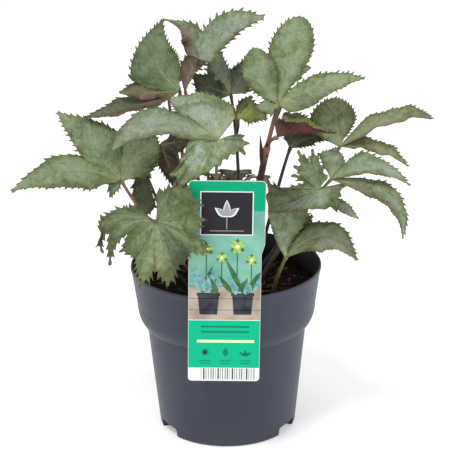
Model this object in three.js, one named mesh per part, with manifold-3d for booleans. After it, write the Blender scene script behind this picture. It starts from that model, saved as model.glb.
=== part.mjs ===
// A potted hellebore: a nursery pot of slate-grey plastic, its soil, a printed card that hooks over
// the rim, and the leaves. Each leaf is a petiole and a blade of one to nine toothed leaflets that
// meet in a small nub, the hub. Millimetres, +Z up. The origin is the centre of the pot's underside,
// and the card hangs on the -Y side.

import * as THREE from "three";
import { mergeVertices } from "three/addons/utils/BufferGeometryUtils.js";
import Module from "manifold-3d";

const wasm = await Module();
wasm.setup();

// ---- Driving sizes, mm ------------------------------------------------------------------------

const GAP = 0.3; // clearance between pieces that touch
const SIDES = 32; // flats round the pot and the soil

const POT = {
  height: 152,
  rimRadius: 85,
  baseRadius: 61.7,
  wall: 1.8,
  floor: 3.2,
  shoulderLow: 96, // the shoulder joins the tapered body to the wider collar
  shoulderHigh: 114,
  bodyTopRadius: 71.4,
  collarRadius: 79.6,
  lip: 1.2,
  notches: 3, // recesses in the foot, each with a drain hole in its roof
  notchWidth: 26,
  notchHeight: 8.5,
  notchDepth: 8,
  drainRadius: 2.8,
};

const SOIL = { top: 132, mound: 3, ripple: 1.6 };

const CARD = {
  width: 63,
  height: 182,
  thick: 0.8,
  corner: 3,
  bottom: 76, // height of the card's lower edge, and its middle's place across
  shift: -2.3,
  lean: 1.3, // degrees, towards +X at the top
  back: 85.5, // how far in front of the axis its back face is
  notchDrop: 62, // the side notches, below the top edge
  notchSize: 5,
  tongueWidth: 24,
  tongueAcross: 1.8, // the tongue's middle
  tongueEnd: 112, // the tongue's point, down in the soil
};

// A leaflet's margin is plain for the first part of its length, bare, and toothed after it.
const BLADE = {
  thick: 0.6,
  bare: 0.16,
  taper: 0.65,
  fold: 12,
  curl: -25,
  wave: 1.5,
  waves: 2.2,
  spine: 3.2, // a tooth's length, outward and forward of it
  outward: 0.75,
  forward: 0.85,
  peak: 0.42,
  blunt: 1.1,
};
const HUB_RADIUS = 2.4;
const PETIOLE = { root: 2.2, top: 1.6, sides: 5, steps: 5, depth: 14 };
const CANE = { root: 3.1, top: 2.0, sides: 6, steps: 6, depth: 14 };

// ---- Leaves -----------------------------------------------------------------------------------
// Each leaf springs from the soil at its crown point, or forks off another leaf's cane, and its
// petiole passes through bend on the way to the hub. A leaflet's midrib runs from the hub through
// via to its tip. Its face is the way that its upper side looks, and may become face2 between the
// two shares of its length in turn. Wide is its left and right half widths, peak where along the
// midrib each half is widest, fold the rise of its halves, taper how fast it widens from the hub,
// and a blunt under 1.1 makes its end rounder.

const FRONT = [0, -0.8, 0.6];
const STEEP = [0, -0.9, 0.45];
const OPEN = [0, -0.6, 0.8];
const SKY = [0, 0.2, 1];
const BACK = [0, 0.35, 0.95];

const LEAVES = [
  {
    name: "left_low", hub: [-89, -30, 240], crown: [-22, -18], bend: [-66, -36, 205],
    blades: [
      { via: [-135, -44, 255], tip: [-181, -55, 240], face: OPEN, wide: [19, 16], teeth: 7 },
      { via: [-117, -25, 271], tip: [-143, -15, 298], face: [0.2, -0.75, 0.6],
        wide: [10, 28], peak: [0.42, 0.36], taper: 1, teeth: 7 },
      { via: [-75, -18, 261], tip: [-59, -2, 271], face: [-0.1, -0.75, 0.65],
        wide: [24, 20], taper: 1.3, blunt: 0.8, teeth: 5 },
      { via: [-95, -34, 237], tip: [-98, -38, 228], face: FRONT, wide: [5, 5], teeth: 2 },
    ],
  },
  {
    name: "rim_left", hub: [-59, -66, 216], crown: [-34, -22], bend: [-60, -44, 190],
    blades: [
      { via: [-92, -74, 219], tip: [-108, -88, 201], face: FRONT,
        wide: [10, 10], peak: [0.42, 0.5], teeth: 5 },
      { via: [-91, -80, 212], tip: [-94, -95, 194], face: FRONT, wide: [7, 8], teeth: 4 },
      { via: [-73, -82, 205], tip: [-82, -95, 192], face: FRONT, wide: [8, 8], teeth: 3 },
      { via: [-60, -86, 198], tip: [-64, -97, 172], face: FRONT,
        wide: [14, 15], peak: [0.66, 0.66], teeth: 5, spine: 5.5 },
      { via: [-44, -86, 202], tip: [-40, -96, 184], face: FRONT, wide: [9, 9], teeth: 4 },
      { via: [-38, -91, 212], tip: [-15, -101, 201], face: STEEP, wide: [9, 12], teeth: 5 },
      { via: [-40, -89, 224], tip: [-22, -100, 229], face: FRONT, wide: [11, 11], teeth: 5 },
      { via: [-45, -80, 236], tip: [-37, -92, 256], face: STEEP, wide: [14, 11], teeth: 5 },
      { via: [-57, -58, 225], tip: [-58, -52, 235], face: STEEP,
        wide: [11, 10], teeth: 4 },
    ],
  },
  {
    name: "centre_front", hub: [-6, -50, 282], crown: [-8, -22], bend: [-8, -36, 215],
    blades: [
      { via: [-52, -56, 299], tip: [-93, -68, 280], face: [0, -0.5, 0.86],
        wide: [12, 18], peak: [0.42, 0.6], blunt: 0.8, teeth: 7 },
      { via: [-30, -26, 301], tip: [-47, -8, 306], face: [0.1, -0.75, 0.65],
        wide: [8, 30], peak: [0.42, 0.27], taper: 3.5, teeth: 7 },
      { via: [-20, -66, 268], tip: [-36, -78, 248], face: [0, -0.75, 0.66],
        wide: [17, 16], peak: [0.28, 0.42], taper: 1.1, teeth: 7 },
      { via: [6, -52, 280], tip: [19, -52, 279], face: [0, -0.75, 0.66],
        wide: [9, 14], blunt: 0.7, teeth: 3 },
    ],
  },
  {
    name: "top_right", hub: [47, 0, 298], cane: true, crown: [16, 0], bend: [29, 0, 230],
    blades: [
      { via: [34, 2, 321], tip: [27, 10, 346], face: [-0.1, -0.85, 0.5],
        wide: [15, 14], peak: [0.6, 0.6], taper: 3, blunt: 0.6, teeth: 7 },
      { via: [59, 12, 334], tip: [68, 26, 369], face: STEEP,
        wide: [21, 15], peak: [0.58, 0.66], blunt: 0.55, teeth: 8 },
      { via: [86, -8, 318], tip: [120, -14, 324], face: [0, -0.75, 0.65],
        wide: [10, 15], peak: [0.42, 0.25], taper: 2, teeth: 7 },
      { via: [40, -4, 294], tip: [33, -8, 291], face: FRONT, wide: [6, 5], teeth: 3 },
    ],
  },
  {
    name: "young_red", hub: [46, -12, 272], onto: "top_right", fork: 0.68, bend: [39, -5, 266],
    blades: [
      { via: [66, -18, 277], tip: [95, -28, 280], face: SKY,
        wide: [24, 18], peak: [0.2, 0.2], taper: 3, fold: 65, teeth: 7 },
    ],
  },
  {
    name: "small_right", hub: [58, 12, 255], crown: [26, 10], bend: [50, 8, 220],
    blades: [
      { via: [60, 18, 264], tip: [61, 22, 275], face: FRONT, wide: [7, 7], teeth: 4 },
      { via: [75, 10, 264], tip: [93, 6, 264], face: FRONT, wide: [9, 6], teeth: 5 },
    ],
  },
  {
    name: "right_mid", hub: [101, -5, 261], crown: [30, -4], bend: [70, -4, 215],
    blades: [
      { via: [98, 4, 280], tip: [99, 14, 299], face: [0, -0.85, 0.5],
        wide: [23, 16], peak: [0.5, 0.6], taper: 1.3, blunt: 0.6, teeth: 7 },
      { via: [145, -10, 286], tip: [179, -16, 285], face: [0, -0.2, 1],
        wide: [15, 12], peak: [0.42, 0.35], blunt: 0.7, fold: 26, teeth: 9 },
      { via: [132, -18, 265], tip: [157, -33, 251], face: [0, -0.2, 1],
        wide: [11, 8], peak: [0.42, 0.2], fold: 28, teeth: 7 },
    ],
  },
  {
    name: "right_low", hub: [92, -28, 239], crown: [28, -20], bend: [62, -24, 198],
    blades: [
      { via: [126, -42, 253], tip: [157, -52, 240], face: [0, -0.7, 0.7],
        wide: [18, 6], peak: [0.23, 0.42], teeth: 7 },
      { via: [139, -47, 226], tip: [150, -66, 197], face: [0, -0.5, 0.85], face2: [0.6, -0.7, 0.3],
        wide: [12, 10], peak: [0.35, 0.4], teeth: 8 },
      { via: [94, -20, 252], tip: [97, -12, 262], face: [0, -0.85, 0.5],
        wide: [16, 10], teeth: 5 },
    ],
  },
  {
    name: "right_front", hub: [80, -50, 237], crown: [24, -32], bend: [55, -31, 192],
    blades: [
      { via: [51, -58, 235], tip: [28, -64, 230], face: FRONT,
        wide: [13, 10], taper: 1.5, blunt: 0.6, teeth: 7 },
      { via: [75, -46, 251], tip: [67, -40, 267], face: STEEP,
        wide: [12, 11], taper: 1, blunt: 0.6, teeth: 4, spine: 5.5 },
      { via: [88, -60, 235], tip: [97, -68, 235], face: STEEP,
        wide: [9, 16], peak: [0.4, 0.35], taper: 1.6, blunt: 0.6, teeth: 4 },
      { via: [99, -54, 224], tip: [113, -58, 213], face: FRONT,
        wide: [4, 5], peak: [0.5, 0.5], teeth: 5 },
    ],
  },
  {
    name: "rim_right", hub: [52, -55, 178], crown: [40, -38], bend: [46, -46, 160],
    blades: [
      { via: [46, -52, 199], tip: [37, -50, 219], face: [-0.1, -0.85, 0.5],
        wide: [5, 30], peak: [0.4, 0.72], taper: 1.2, blunt: 0.5, teeth: 6 },
      { via: [62, -46, 196], tip: [75, -43, 211], face: [0, -0.85, 0.5],
        wide: [12, 8], teeth: 5 },
      { via: [85, -62, 199], tip: [111, -74, 181], face: [0, -0.55, 0.85],
        wide: [14, 17], peak: [0.6, 0.42], fold: 16, teeth: 7 },
    ],
  },
  {
    name: "top_left", hub: [-38, 8, 310], crown: [-22, 4], bend: [-36, 14, 232],
    blades: [
      { via: [-58, 12, 336], tip: [-52, 22, 369], face: [0.1, -0.9, 0.4],
        wide: [29, 18], peak: [0.24, 0.42], taper: 1, teeth: 8 },
      { via: [-76, -4, 300], tip: [-118, -16, 293], face: [0, -0.25, 1],
        wide: [15, 13], peak: [0.42, 0.5], taper: 1.3, blunt: 0.8, fold: 25, teeth: 7 },
      { via: [-66, 0, 309], tip: [-90, -6, 312], face: OPEN,
        wide: [6, 16], peak: [0.42, 0.5], teeth: 5 },
    ],
  },
  {
    name: "top_mid", hub: [-34, 21, 307], crown: [-14, 12], bend: [-24, 12, 230],
    blades: [
      { via: [-25, 38, 347], tip: [-53, 42, 364], face: [-0.9, 0.3, 0.3], face2: [-0.2, -0.4, 0.9],
        wide: [11, 9], peak: [0.45, 0.42], teeth: 6 },
      { via: [-10, 24, 346], tip: [35, 16, 371], face: [0.2, 0.95, 0.3], face2: STEEP, turn: [0.15, 0.5],
        wide: [16, 11], peak: [0.68, 0.3], taper: 0.65, blunt: 1, teeth: 7, spine: 5 },
    ],
  },
  {
    name: "mid_back", hub: [6, 40, 297], crown: [10, 18], bend: [12, 24, 225],
    blades: [
      { via: [-3, 46, 320], tip: [-7, 56, 339], face: FRONT, wide: [12, 6], teeth: 5 },
      { via: [-11, 36, 304], tip: [-27, 40, 316], face: FRONT, wide: [15, 12], teeth: 4 },
      { via: [14, 46, 309], tip: [20, 52, 326], face: FRONT,
        wide: [13, 12], taper: 1.2, teeth: 4 },
    ],
  },
  {
    name: "young_mid", hub: [11, 20, 280], onto: "mid_back", fork: 0.74, bend: [12, 24, 273],
    blades: [
      { via: [24, 15, 286], tip: [37, 11, 281], face: FRONT, wide: [8, 9], teeth: 4 },
      { via: [17, 22, 292], tip: [25, 26, 298], face: FRONT, wide: [4, 5], teeth: 3 },
      { via: [5, 22, 286], tip: [1, 25, 292], face: FRONT, wide: [5, 4], teeth: 3 },
    ],
  },
  {
    name: "behind_label", hub: [2, 50, 189], crown: [4, 30], bend: [3, 42, 165],
    blades: [
      { via: [7, 56, 203], tip: [11, 60, 217], face: FRONT, wide: [12, 12], teeth: 4 },
      { via: [-10, 52, 206], tip: [-16, 50, 212], face: FRONT, wide: [10, 10], teeth: 4 },
      { via: [17, 54, 200], tip: [28, 56, 208], face: FRONT, wide: [10, 10], teeth: 4 },
    ],
  },
  {
    name: "hanging_left", hub: [-56, 6, 261], crown: [-30, 6], bend: [-42, 17, 215],
    blades: [
      { via: [-49, 2, 243], tip: [-43, -3, 223], face: STEEP,
        wide: [8, 8], peak: [0.35, 0.35], blunt: 0.8, teeth: 5 },
      { via: [-72, -5, 230], tip: [-75, -18, 210], face: STEEP,
        wide: [9, 7], peak: [0.75, 0.5], teeth: 4 },
      { via: [-41, 0, 265], tip: [-26, -6, 269], face: FRONT, wide: [9, 9], teeth: 4 },
    ],
  },
  {
    name: "back_mid", hub: [-20, 52, 262], crown: [-10, 30], bend: [-14, 44, 205],
    blades: [
      { via: [-44, 66, 272], tip: [-70, 84, 262], face: BACK, wide: [15, 16], teeth: 4 },
      { via: [-16, 78, 270], tip: [-12, 106, 256], face: BACK, wide: [17, 16], teeth: 4 },
      { via: [-4, 64, 268], tip: [6, 74, 262], face: SKY, wide: [8, 9], teeth: 4 },
    ],
  },
  {
    name: "back_right", hub: [74, 44, 188], crown: [30, 22], bend: [52, 34, 162],
    blades: [
      { via: [88, 48, 192], tip: [102, 52, 180], face: SKY, wide: [13, 13], teeth: 4 },
      { via: [86, 70, 196], tip: [96, 92, 188], face: BACK, wide: [16, 16], teeth: 4 },
      { via: [70, 70, 190], tip: [68, 92, 180], face: BACK, wide: [14, 14], teeth: 4 },
    ],
  },
  {
    name: "back_left", hub: [-74, 38, 234], crown: [-32, 22], bend: [-56, 34, 186],
    blades: [
      { via: [-98, 44, 244], tip: [-124, 46, 230], face: SKY, wide: [14, 14], teeth: 4 },
      { via: [-86, 64, 242], tip: [-96, 92, 230], face: BACK, wide: [16, 16], teeth: 4 },
      { via: [-58, 60, 240], tip: [-44, 82, 228], face: BACK, wide: [13, 13], teeth: 4 },
    ],
  },
  {
    name: "back_top_left", hub: [-50, 48, 296], crown: [-24, 20], bend: [-40, 34, 225],
    blades: [
      { via: [-64, 60, 312], tip: [-74, 70, 326], face: [-0.3, 0.6, 0.7],
        wide: [15, 15], teeth: 4 },
      { via: [-50, 76, 310], tip: [-50, 102, 308], face: SKY, wide: [16, 15], teeth: 4 },
      { via: [-32, 62, 312], tip: [-20, 78, 322], face: [0.2, 0.6, 0.8],
        wide: [12, 12], teeth: 4 },
    ],
  },
  {
    name: "back_top_right", hub: [56, 50, 296], onto: "top_right", fork: 0.84, bend: [48, 24, 284],
    blades: [
      { via: [48, 62, 310], tip: [44, 72, 322], face: [-0.2, 0.6, 0.8],
        wide: [14, 14], teeth: 4 },
      { via: [62, 76, 310], tip: [66, 104, 304], face: BACK, wide: [16, 16], teeth: 4 },
      { via: [80, 54, 300], tip: [102, 58, 292], face: [0.2, 0.1, 1],
        wide: [13, 14], teeth: 4 },
    ],
  },
  {
    name: "back_low", hub: [10, 76, 196], crown: [8, 40], bend: [10, 64, 168],
    blades: [
      { via: [10, 96, 206], tip: [10, 118, 190], face: BACK, wide: [15, 15], teeth: 4 },
      { via: [-12, 88, 206], tip: [-36, 96, 198], face: BACK, wide: [12, 12], teeth: 4 },
      { via: [28, 86, 204], tip: [40, 100, 192], face: BACK, wide: [12, 12], teeth: 4 },
    ],
  },
];

// ---- Helpers ----------------------------------------------------------------------------------

const vec = (p) => new THREE.Vector3(p[0], p[1], p[2]);
const degrees = THREE.MathUtils.degToRad;

// A closed geometry as a manifold-3d solid, for cutting and joining.
function solidOf(geometry) {
  const bare = new THREE.BufferGeometry().setAttribute("position", geometry.getAttribute("position"));
  bare.setIndex(geometry.index);
  const merged = mergeVertices(bare, 1e-4);
  return new wasm.Manifold(
    new wasm.Mesh({
      numProp: 3,
      vertProperties: new Float32Array(merged.attributes.position.array),
      triVerts: new Uint32Array(merged.index.array),
    }),
  );
}

function geometryOf(solid) {
  const mesh = solid.getMesh();
  return new THREE.BufferGeometry()
    .setAttribute("position", new THREE.BufferAttribute(new Float32Array(mesh.vertProperties), 3))
    .setIndex(new THREE.BufferAttribute(new Uint32Array(mesh.triVerts), 1))
    .toNonIndexed();
}

// A solid of revolution about Z from points [radius, height] that start and end on the axis.
function turned(profile) {
  const points = profile.map(([radius, height]) => new THREE.Vector2(radius, height));
  return new THREE.LatheGeometry(points, SIDES).rotateX(Math.PI / 2);
}

// A repeatable draw from 0 to 1 for a whole number.
function draw(number) {
  const x = Math.sin(number * 12.9898 + 4.1414) * 43758.5453;
  return x - Math.floor(x);
}

function eased(x) {
  const t = THREE.MathUtils.clamp(x, 0, 1);
  return t * t * (3 - 2 * t);
}

// ---- Pot --------------------------------------------------------------------------------------

// The outside of the wall from the foot to the lip, or the inside when moved in by inset.
function wallProfile(inset) {
  const { baseRadius, bodyTopRadius, collarRadius, rimRadius, lip } = POT;
  const { shoulderLow, shoulderHigh, height } = POT;
  const points = [[bodyTopRadius - inset, shoulderLow]];
  const steps = 3;
  for (let i = 1; i <= steps; i += 1) {
    const rise = i / steps;
    const radius = bodyTopRadius + (collarRadius - bodyTopRadius) * Math.sin((rise * Math.PI) / 2);
    points.push([radius - inset, shoulderLow + (shoulderHigh - shoulderLow) * rise ** 1.3]);
  }
  points.push([rimRadius - lip / 2 - inset, height - 3 * lip]);
  return { foot: baseRadius - inset, points };
}

function wallRadius(height, inset) {
  const { points, foot } = wallProfile(inset);
  const line = [[foot, 0], ...points, [POT.rimRadius - inset, POT.height]];
  const i = line.findIndex((point) => point[1] >= height);
  const [r0, z0] = line[Math.max(i - 1, 0)];
  const [r1, z1] = line[i];
  return z1 === z0 ? r1 : r0 + ((r1 - r0) * (height - z0)) / (z1 - z0);
}

// The raised ring of the floor, which leaves room for the notches in the foot.
const RING = {
  inner: POT.baseRadius - POT.notchDepth - 5,
  outer: POT.baseRadius - POT.notchDepth - 1.5,
  top: POT.notchHeight + 2.2,
};

function potGeometry() {
  const outside = wallProfile(0);
  const inside = wallProfile(POT.wall);
  const { height, rimRadius, lip, baseRadius, wall, floor } = POT;
  const profile = [
    [0, 0],
    [baseRadius - 2, 0],
    [baseRadius, 2],
    ...outside.points,
    [rimRadius, height - 2.2 * lip],
    [rimRadius, height],
    [rimRadius - wall, height],
    ...inside.points.reverse(),
    [wallRadius(RING.top, wall), RING.top],
    [RING.outer, RING.top],
    [RING.inner, floor],
    [0, floor],
  ];
  let pot = solidOf(turned(profile));
  for (let i = 0; i < POT.notches; i += 1) {
    const angle = Math.PI / 2 + (i * 2 * Math.PI) / POT.notches;
    const reach = POT.baseRadius - POT.notchDepth / 2 + 2;
    const cut = new THREE.BoxGeometry(POT.notchDepth + 4, POT.notchWidth, 2 * POT.notchHeight);
    cut.translate(reach, 0, 0).rotateZ(angle);
    const drain = new THREE.CylinderGeometry(POT.drainRadius, POT.drainRadius, 12, 6);
    drain.rotateX(Math.PI / 2).translate(reach - 4.4, 0, RING.top).rotateZ(angle);
    pot = pot.subtract(solidOf(cut)).subtract(solidOf(drain));
  }
  return geometryOf(pot);
}

// ---- Soil -------------------------------------------------------------------------------------

function soilHeight(x, y) {
  const radius = Math.hypot(x, y);
  const mound = SOIL.mound * Math.cos((Math.PI / 2) * Math.min(radius / POT.collarRadius, 1));
  return SOIL.top + mound + SOIL.ripple * Math.sin(x / 11 + 1) * Math.cos(y / 9);
}

function soilGeometry(cutters) {
  const clear = POT.wall + GAP;
  const levels = [SOIL.top, ...wallProfile(0).points.map((point) => point[1])];
  const sides = levels
    .filter((level) => level <= SOIL.top)
    .sort((a, b) => a - b)
    .map((level) => [wallRadius(level, clear), level]);
  const edge = sides[sides.length - 1][0];
  const rings = [0.8, 0.55, 0.28].map((share) => [edge * share, SOIL.top]);
  const bottom = RING.top + GAP;
  const profile = [
    [0, POT.floor + GAP],
    [RING.inner - GAP, POT.floor + GAP],
    [RING.outer - GAP, bottom],
    [wallRadius(bottom, clear), bottom],
    ...sides,
    ...rings,
    [0, SOIL.top],
  ];
  const body = turned(profile);
  const position = body.getAttribute("position");
  for (let i = 0; i < position.count; i += 1) {
    if (position.getZ(i) > SOIL.top - 0.01) {
      const x = position.getX(i);
      const y = position.getY(i);
      position.setZ(i, soilHeight(x, y));
    }
  }
  let soil = solidOf(body);
  for (const cutter of cutters) soil = soil.subtract(cutter);
  return geometryOf(soil);
}

// ---- Card -------------------------------------------------------------------------------------

function cardOutline() {
  const { width, height, corner, notchDrop, notchSize } = CARD;
  const half = width / 2;
  const outline = new THREE.Shape();
  const notchTop = height - notchDrop;
  outline.moveTo(-half + corner, 0).lineTo(half - corner, 0);
  outline.absarc(half - corner, corner, corner, -Math.PI / 2, 0);
  outline.lineTo(half, notchTop - 3 * notchSize).lineTo(half - notchSize, notchTop - 2.4 * notchSize);
  outline.lineTo(half, notchTop).lineTo(half, height - corner);
  outline.absarc(half - corner, height - corner, corner, 0, Math.PI / 2);
  outline.lineTo(-half + corner, height);
  outline.absarc(-half + corner, height - corner, corner, Math.PI / 2, Math.PI);
  outline.lineTo(-half, notchTop).lineTo(-half + notchSize, notchTop - 2.4 * notchSize);
  outline.lineTo(-half, notchTop - 3 * notchSize).lineTo(-half, corner);
  outline.absarc(-half + corner, corner, corner, Math.PI, 1.5 * Math.PI);
  return outline;
}

// The tongue as seen from the side: [distance in front of the axis, height] down its back face.
function tongueLine() {
  const top = CARD.bottom + CARD.height;
  return [
    [CARD.back + CARD.thick / 2, top - 0.2],
    [CARD.back - 1.6, top - 3],
    [CARD.back - 6.6, POT.height],
    [CARD.back - 9.6, SOIL.top],
    [CARD.back - 11, CARD.tongueEnd],
  ];
}

// A strip of the tongue's width and of the given thickness along the tongue's line.
function tongueGeometry(thick, width, extra) {
  const line = tongueLine();
  const shape = new THREE.Shape();
  line.forEach(([depth, z], i) => {
    const drop = i === line.length - 1 ? extra : 0;
    if (i === 0) shape.moveTo(-depth - thick / 2, z);
    else shape.lineTo(-depth - thick / 2, z - drop);
  });
  [...line].reverse().forEach(([depth, z], i) => {
    shape.lineTo(-depth + thick / 2, z - (i === 0 ? extra : 0));
  });
  const strip = new THREE.ExtrudeGeometry(shape, { depth: width, bevelEnabled: false });
  return strip.rotateY(Math.PI / 2).rotateX(Math.PI / 2).translate(CARD.tongueAcross - width / 2, 0, 0);
}

function cardGeometry() {
  const plate = new THREE.ExtrudeGeometry(cardOutline(), {
    depth: CARD.thick,
    bevelEnabled: false,
    curveSegments: 3,
  });
  plate.rotateX(Math.PI / 2).translate(0, -CARD.back, 0);
  plate.rotateY(degrees(CARD.lean)).translate(CARD.shift, 0, CARD.bottom);
  const tongue = solidOf(tongueGeometry(CARD.thick, CARD.tongueWidth, 0));
  return solidOf(plate).add(tongue);
}

// ---- Leaf blades ------------------------------------------------------------------------------

// Half width of a leaflet along its midrib, as a share of the widest.
function fullness(t, peak, blunt = BLADE.blunt) {
  const power = Math.log(0.5) / Math.log(peak);
  const swell = Math.max(0, Math.sin(Math.PI * t ** power));
  return swell ** (t < peak ? 0.85 : blunt);
}

// The midrib's place and directions at t: along it, out of the upper side, and to its right.
function midribFrame(hub, leaflet, t) {
  const via = vec(leaflet.via);
  const tip = vec(leaflet.tip);
  const control = via.multiplyScalar(2).addScaledVector(hub, -0.5).addScaledVector(tip, -0.5);
  const curve = new THREE.QuadraticBezierCurve3(hub, control, tip);
  const along = curve.getTangent(t);
  const [turnStart, turnEnd] = leaflet.turn || [0, 1];
  const turned = eased((t - turnStart) / (turnEnd - turnStart));
  const up = vec(leaflet.face).normalize();
  up.lerp(vec(leaflet.face2 || leaflet.face).normalize(), turned).normalize();
  up.addScaledVector(along, -up.dot(along)).normalize();
  return { middle: curve.getPoint(t), along, up, right: along.clone().cross(up) };
}

// A point of the leaflet at t along it and v across it, from 0 at the midrib to 1 at the margin.
function bladePoint(hub, leaflet, t, side, v, spine) {
  const { middle, along, up, right } = midribFrame(hub, leaflet, t);
  const half = side < 0 ? 0 : 1;
  const peak = (leaflet.peak || [BLADE.peak, BLADE.peak])[half];
  const share = fullness(t, peak, leaflet.blunt);
  const least = THREE.MathUtils.lerp(1.5, 0.35, t);
  const fromHub = t * vec(leaflet.tip).distanceTo(hub);
  const widening = 1.2 + (leaflet.taper || BLADE.taper) * fromHub;
  const width = Math.max(Math.min(leaflet.wide[half] * share, widening), least);
  const fold = degrees(leaflet.fold === undefined ? BLADE.fold : leaflet.fold);
  const curl = degrees(BLADE.curl);
  const seed = Math.abs(leaflet.tip[0] * 7 + leaflet.tip[2] * 3);
  const slope = fold + curl * v * 0.5;
  const phase = BLADE.waves * t + 0.31 * seed + 0.4 * side;
  const lift = BLADE.wave * Math.sin(2 * Math.PI * phase) * v * v * fullness(t, 0.5);
  const point = middle.addScaledVector(right, side * v * width * Math.cos(slope));
  point.addScaledVector(up, v * width * Math.sin(slope) + lift);
  const angle = fold + curl * v;
  if (spine > 0) {
    const reach = spine * (0.3 + 0.7 * fullness(t, 0.5));
    point.addScaledVector(right, BLADE.outward * reach * side * Math.cos(angle));
    point.addScaledVector(up, BLADE.outward * reach * Math.sin(angle));
    point.addScaledVector(along, BLADE.forward * reach);
  }
  const normal = up.clone().multiplyScalar(Math.cos(angle));
  normal.addScaledVector(right, -side * Math.sin(angle));
  if (v === 0) normal.copy(up).divideScalar(Math.cos(fold));
  return { point, normal };
}

// One leaflet as a thin closed slab: both faces are split into the same triangles.
function leafletSolid(hub, leaflet) {
  const { teeth } = leaflet;
  const size = leaflet.spine || BLADE.spine;
  const seed = Math.abs(leaflet.tip[0] * 7 + leaflet.tip[2] * 3);
  const places = [];
  const faces = [];
  const place = (t, side, v, spine = 0) => {
    places.push(bladePoint(hub, leaflet, t, side, v, spine));
    return places.length - 1;
  };
  const along = (tooth) => BLADE.bare + ((1 - BLADE.bare) * tooth) / teeth;
  const midrib = [place(0, 1, 0)];
  for (let i = 0; i <= teeth; i += 1) midrib.push(place(along(i), 1, 0));
  const margins = {};
  for (const side of [-1, 1]) {
    const face = (a, b, c) => faces.push(side > 0 ? [a, b, c] : [a, c, b]);
    const margin = [place(0, side, 1), place(along(0), side, 1)];
    face(midrib[0], margin[0], margin[1]);
    face(midrib[0], margin[1], midrib[1]);
    for (let i = 0; i < teeth; i += 1) {
      const length = size * (0.7 + 0.6 * draw(seed + 17 * i + 5 * side));
      const notch = margin[margin.length - 1];
      const spine = place(along(i + 0.8), side, 1, length);
      const next = place(along(i + 1), side, 1);
      margin.push(spine, next);
      face(midrib[i + 1], notch, spine);
      face(midrib[i + 1], spine, midrib[i + 2]);
      face(midrib[i + 2], spine, next);
    }
    margins[side] = margin;
  }
  const rim = [midrib[0], ...margins[1], midrib[teeth + 1], ...margins[-1].reverse()];
  const count = places.length;
  const positions = [];
  for (const shift of [BLADE.thick / 2, -BLADE.thick / 2]) {
    for (const { point, normal } of places) {
      positions.push(...point.clone().addScaledVector(normal, shift).toArray());
    }
  }
  const index = [];
  for (const [a, b, c] of faces) index.push(a, b, c, a + count, c + count, b + count);
  rim.forEach((p, i) => {
    const q = rim[(i + 1) % rim.length];
    index.push(p, p + count, q + count, p, q + count, q);
  });
  const slab = new THREE.BufferGeometry();
  slab.setAttribute("position", new THREE.Float32BufferAttribute(positions, 3)).setIndex(index);
  return solidOf(slab);
}

function bladeSolid(leaf) {
  const hub = vec(leaf.hub);
  // A corner of the nub points at the end of the petiole.
  const down = petioleCurve(leaf).getTangent(1).negate();
  const turn = new THREE.Quaternion().setFromUnitVectors(new THREE.Vector3(0, 1, 0), down);
  const nub = new THREE.OctahedronGeometry(HUB_RADIUS, 0).applyQuaternion(turn);
  let blade = solidOf(nub.translate(...leaf.hub));
  for (const leaflet of leaf.blades) blade = blade.add(leafletSolid(hub, leaflet));
  // Leaflets that cross near the hub can close off a tiny pocket; the largest body is the leaf.
  return blade.decompose().sort((a, b) => b.volume() - a.volume())[0];
}

// ---- Petioles ---------------------------------------------------------------------------------

// A round tapered tube through the points, closed at both ends.
function tubeSolid(points, rootRadius, topRadius, sides) {
  const positions = [];
  const index = [];
  const last = points.length - 1;
  const across = new THREE.Vector3(1, 0, 0);
  points.forEach((point, i) => {
    const along = points[Math.min(i + 1, last)].clone().sub(points[Math.max(i - 1, 0)]).normalize();
    const first = across.clone().addScaledVector(along, -across.dot(along)).normalize();
    const second = along.clone().cross(first);
    const radius = THREE.MathUtils.lerp(rootRadius, topRadius, i / last);
    for (let k = 0; k < sides; k += 1) {
      const angle = (2 * Math.PI * k) / sides;
      const edge = point.clone().addScaledVector(first, radius * Math.cos(angle));
      positions.push(...edge.addScaledVector(second, radius * Math.sin(angle)).toArray());
    }
  });
  for (let i = 0; i < last; i += 1) {
    for (let k = 0; k < sides; k += 1) {
      const a = i * sides + k;
      const b = i * sides + ((k + 1) % sides);
      index.push(a, b, b + sides, a, b + sides, a + sides);
    }
  }
  const root = positions.length / 3;
  positions.push(...points[0].toArray(), ...points[last].toArray());
  for (let k = 0; k < sides; k += 1) {
    const next = (k + 1) % sides;
    index.push(root, next, k, root + 1, last * sides + k, last * sides + next);
  }
  const tube = new THREE.BufferGeometry();
  tube.setAttribute("position", new THREE.Float32BufferAttribute(positions, 3)).setIndex(index);
  return solidOf(tube);
}

const byName = new Map(LEAVES.map((leaf) => [leaf.name, leaf]));

// The petiole's middle line above the soil, or above its fork.
function petioleCurve(leaf) {
  const start = leaf.onto
    ? petioleCurve(byName.get(leaf.onto)).getPoint(leaf.fork)
    : vec([...leaf.crown, soilHeight(...leaf.crown) + 1.5]);
  const hub = vec(leaf.hub);
  const control = vec(leaf.bend).multiplyScalar(2);
  control.addScaledVector(start, -0.5).addScaledVector(hub, -0.5);
  return new THREE.QuadraticBezierCurve3(start, control, hub);
}

// A petiole stops just short of its hub, and its root stands upright in a plain hole in the soil.
function petioleSolid(leaf) {
  const curve = petioleCurve(leaf);
  const size = leaf.cane ? CANE : PETIOLE;
  const end = 1 - (HUB_RADIUS + GAP) / curve.getLength();
  const points = [];
  for (let i = 0; i <= size.steps; i += 1) points.push(curve.getPointAt((end * i) / size.steps));
  if (leaf.onto) return tubeSolid(points, size.top, size.top, size.sides);
  const root = points[0].clone();
  root.z -= size.depth;
  return tubeSolid([root, ...points], size.root, size.top, size.sides);
}

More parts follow.
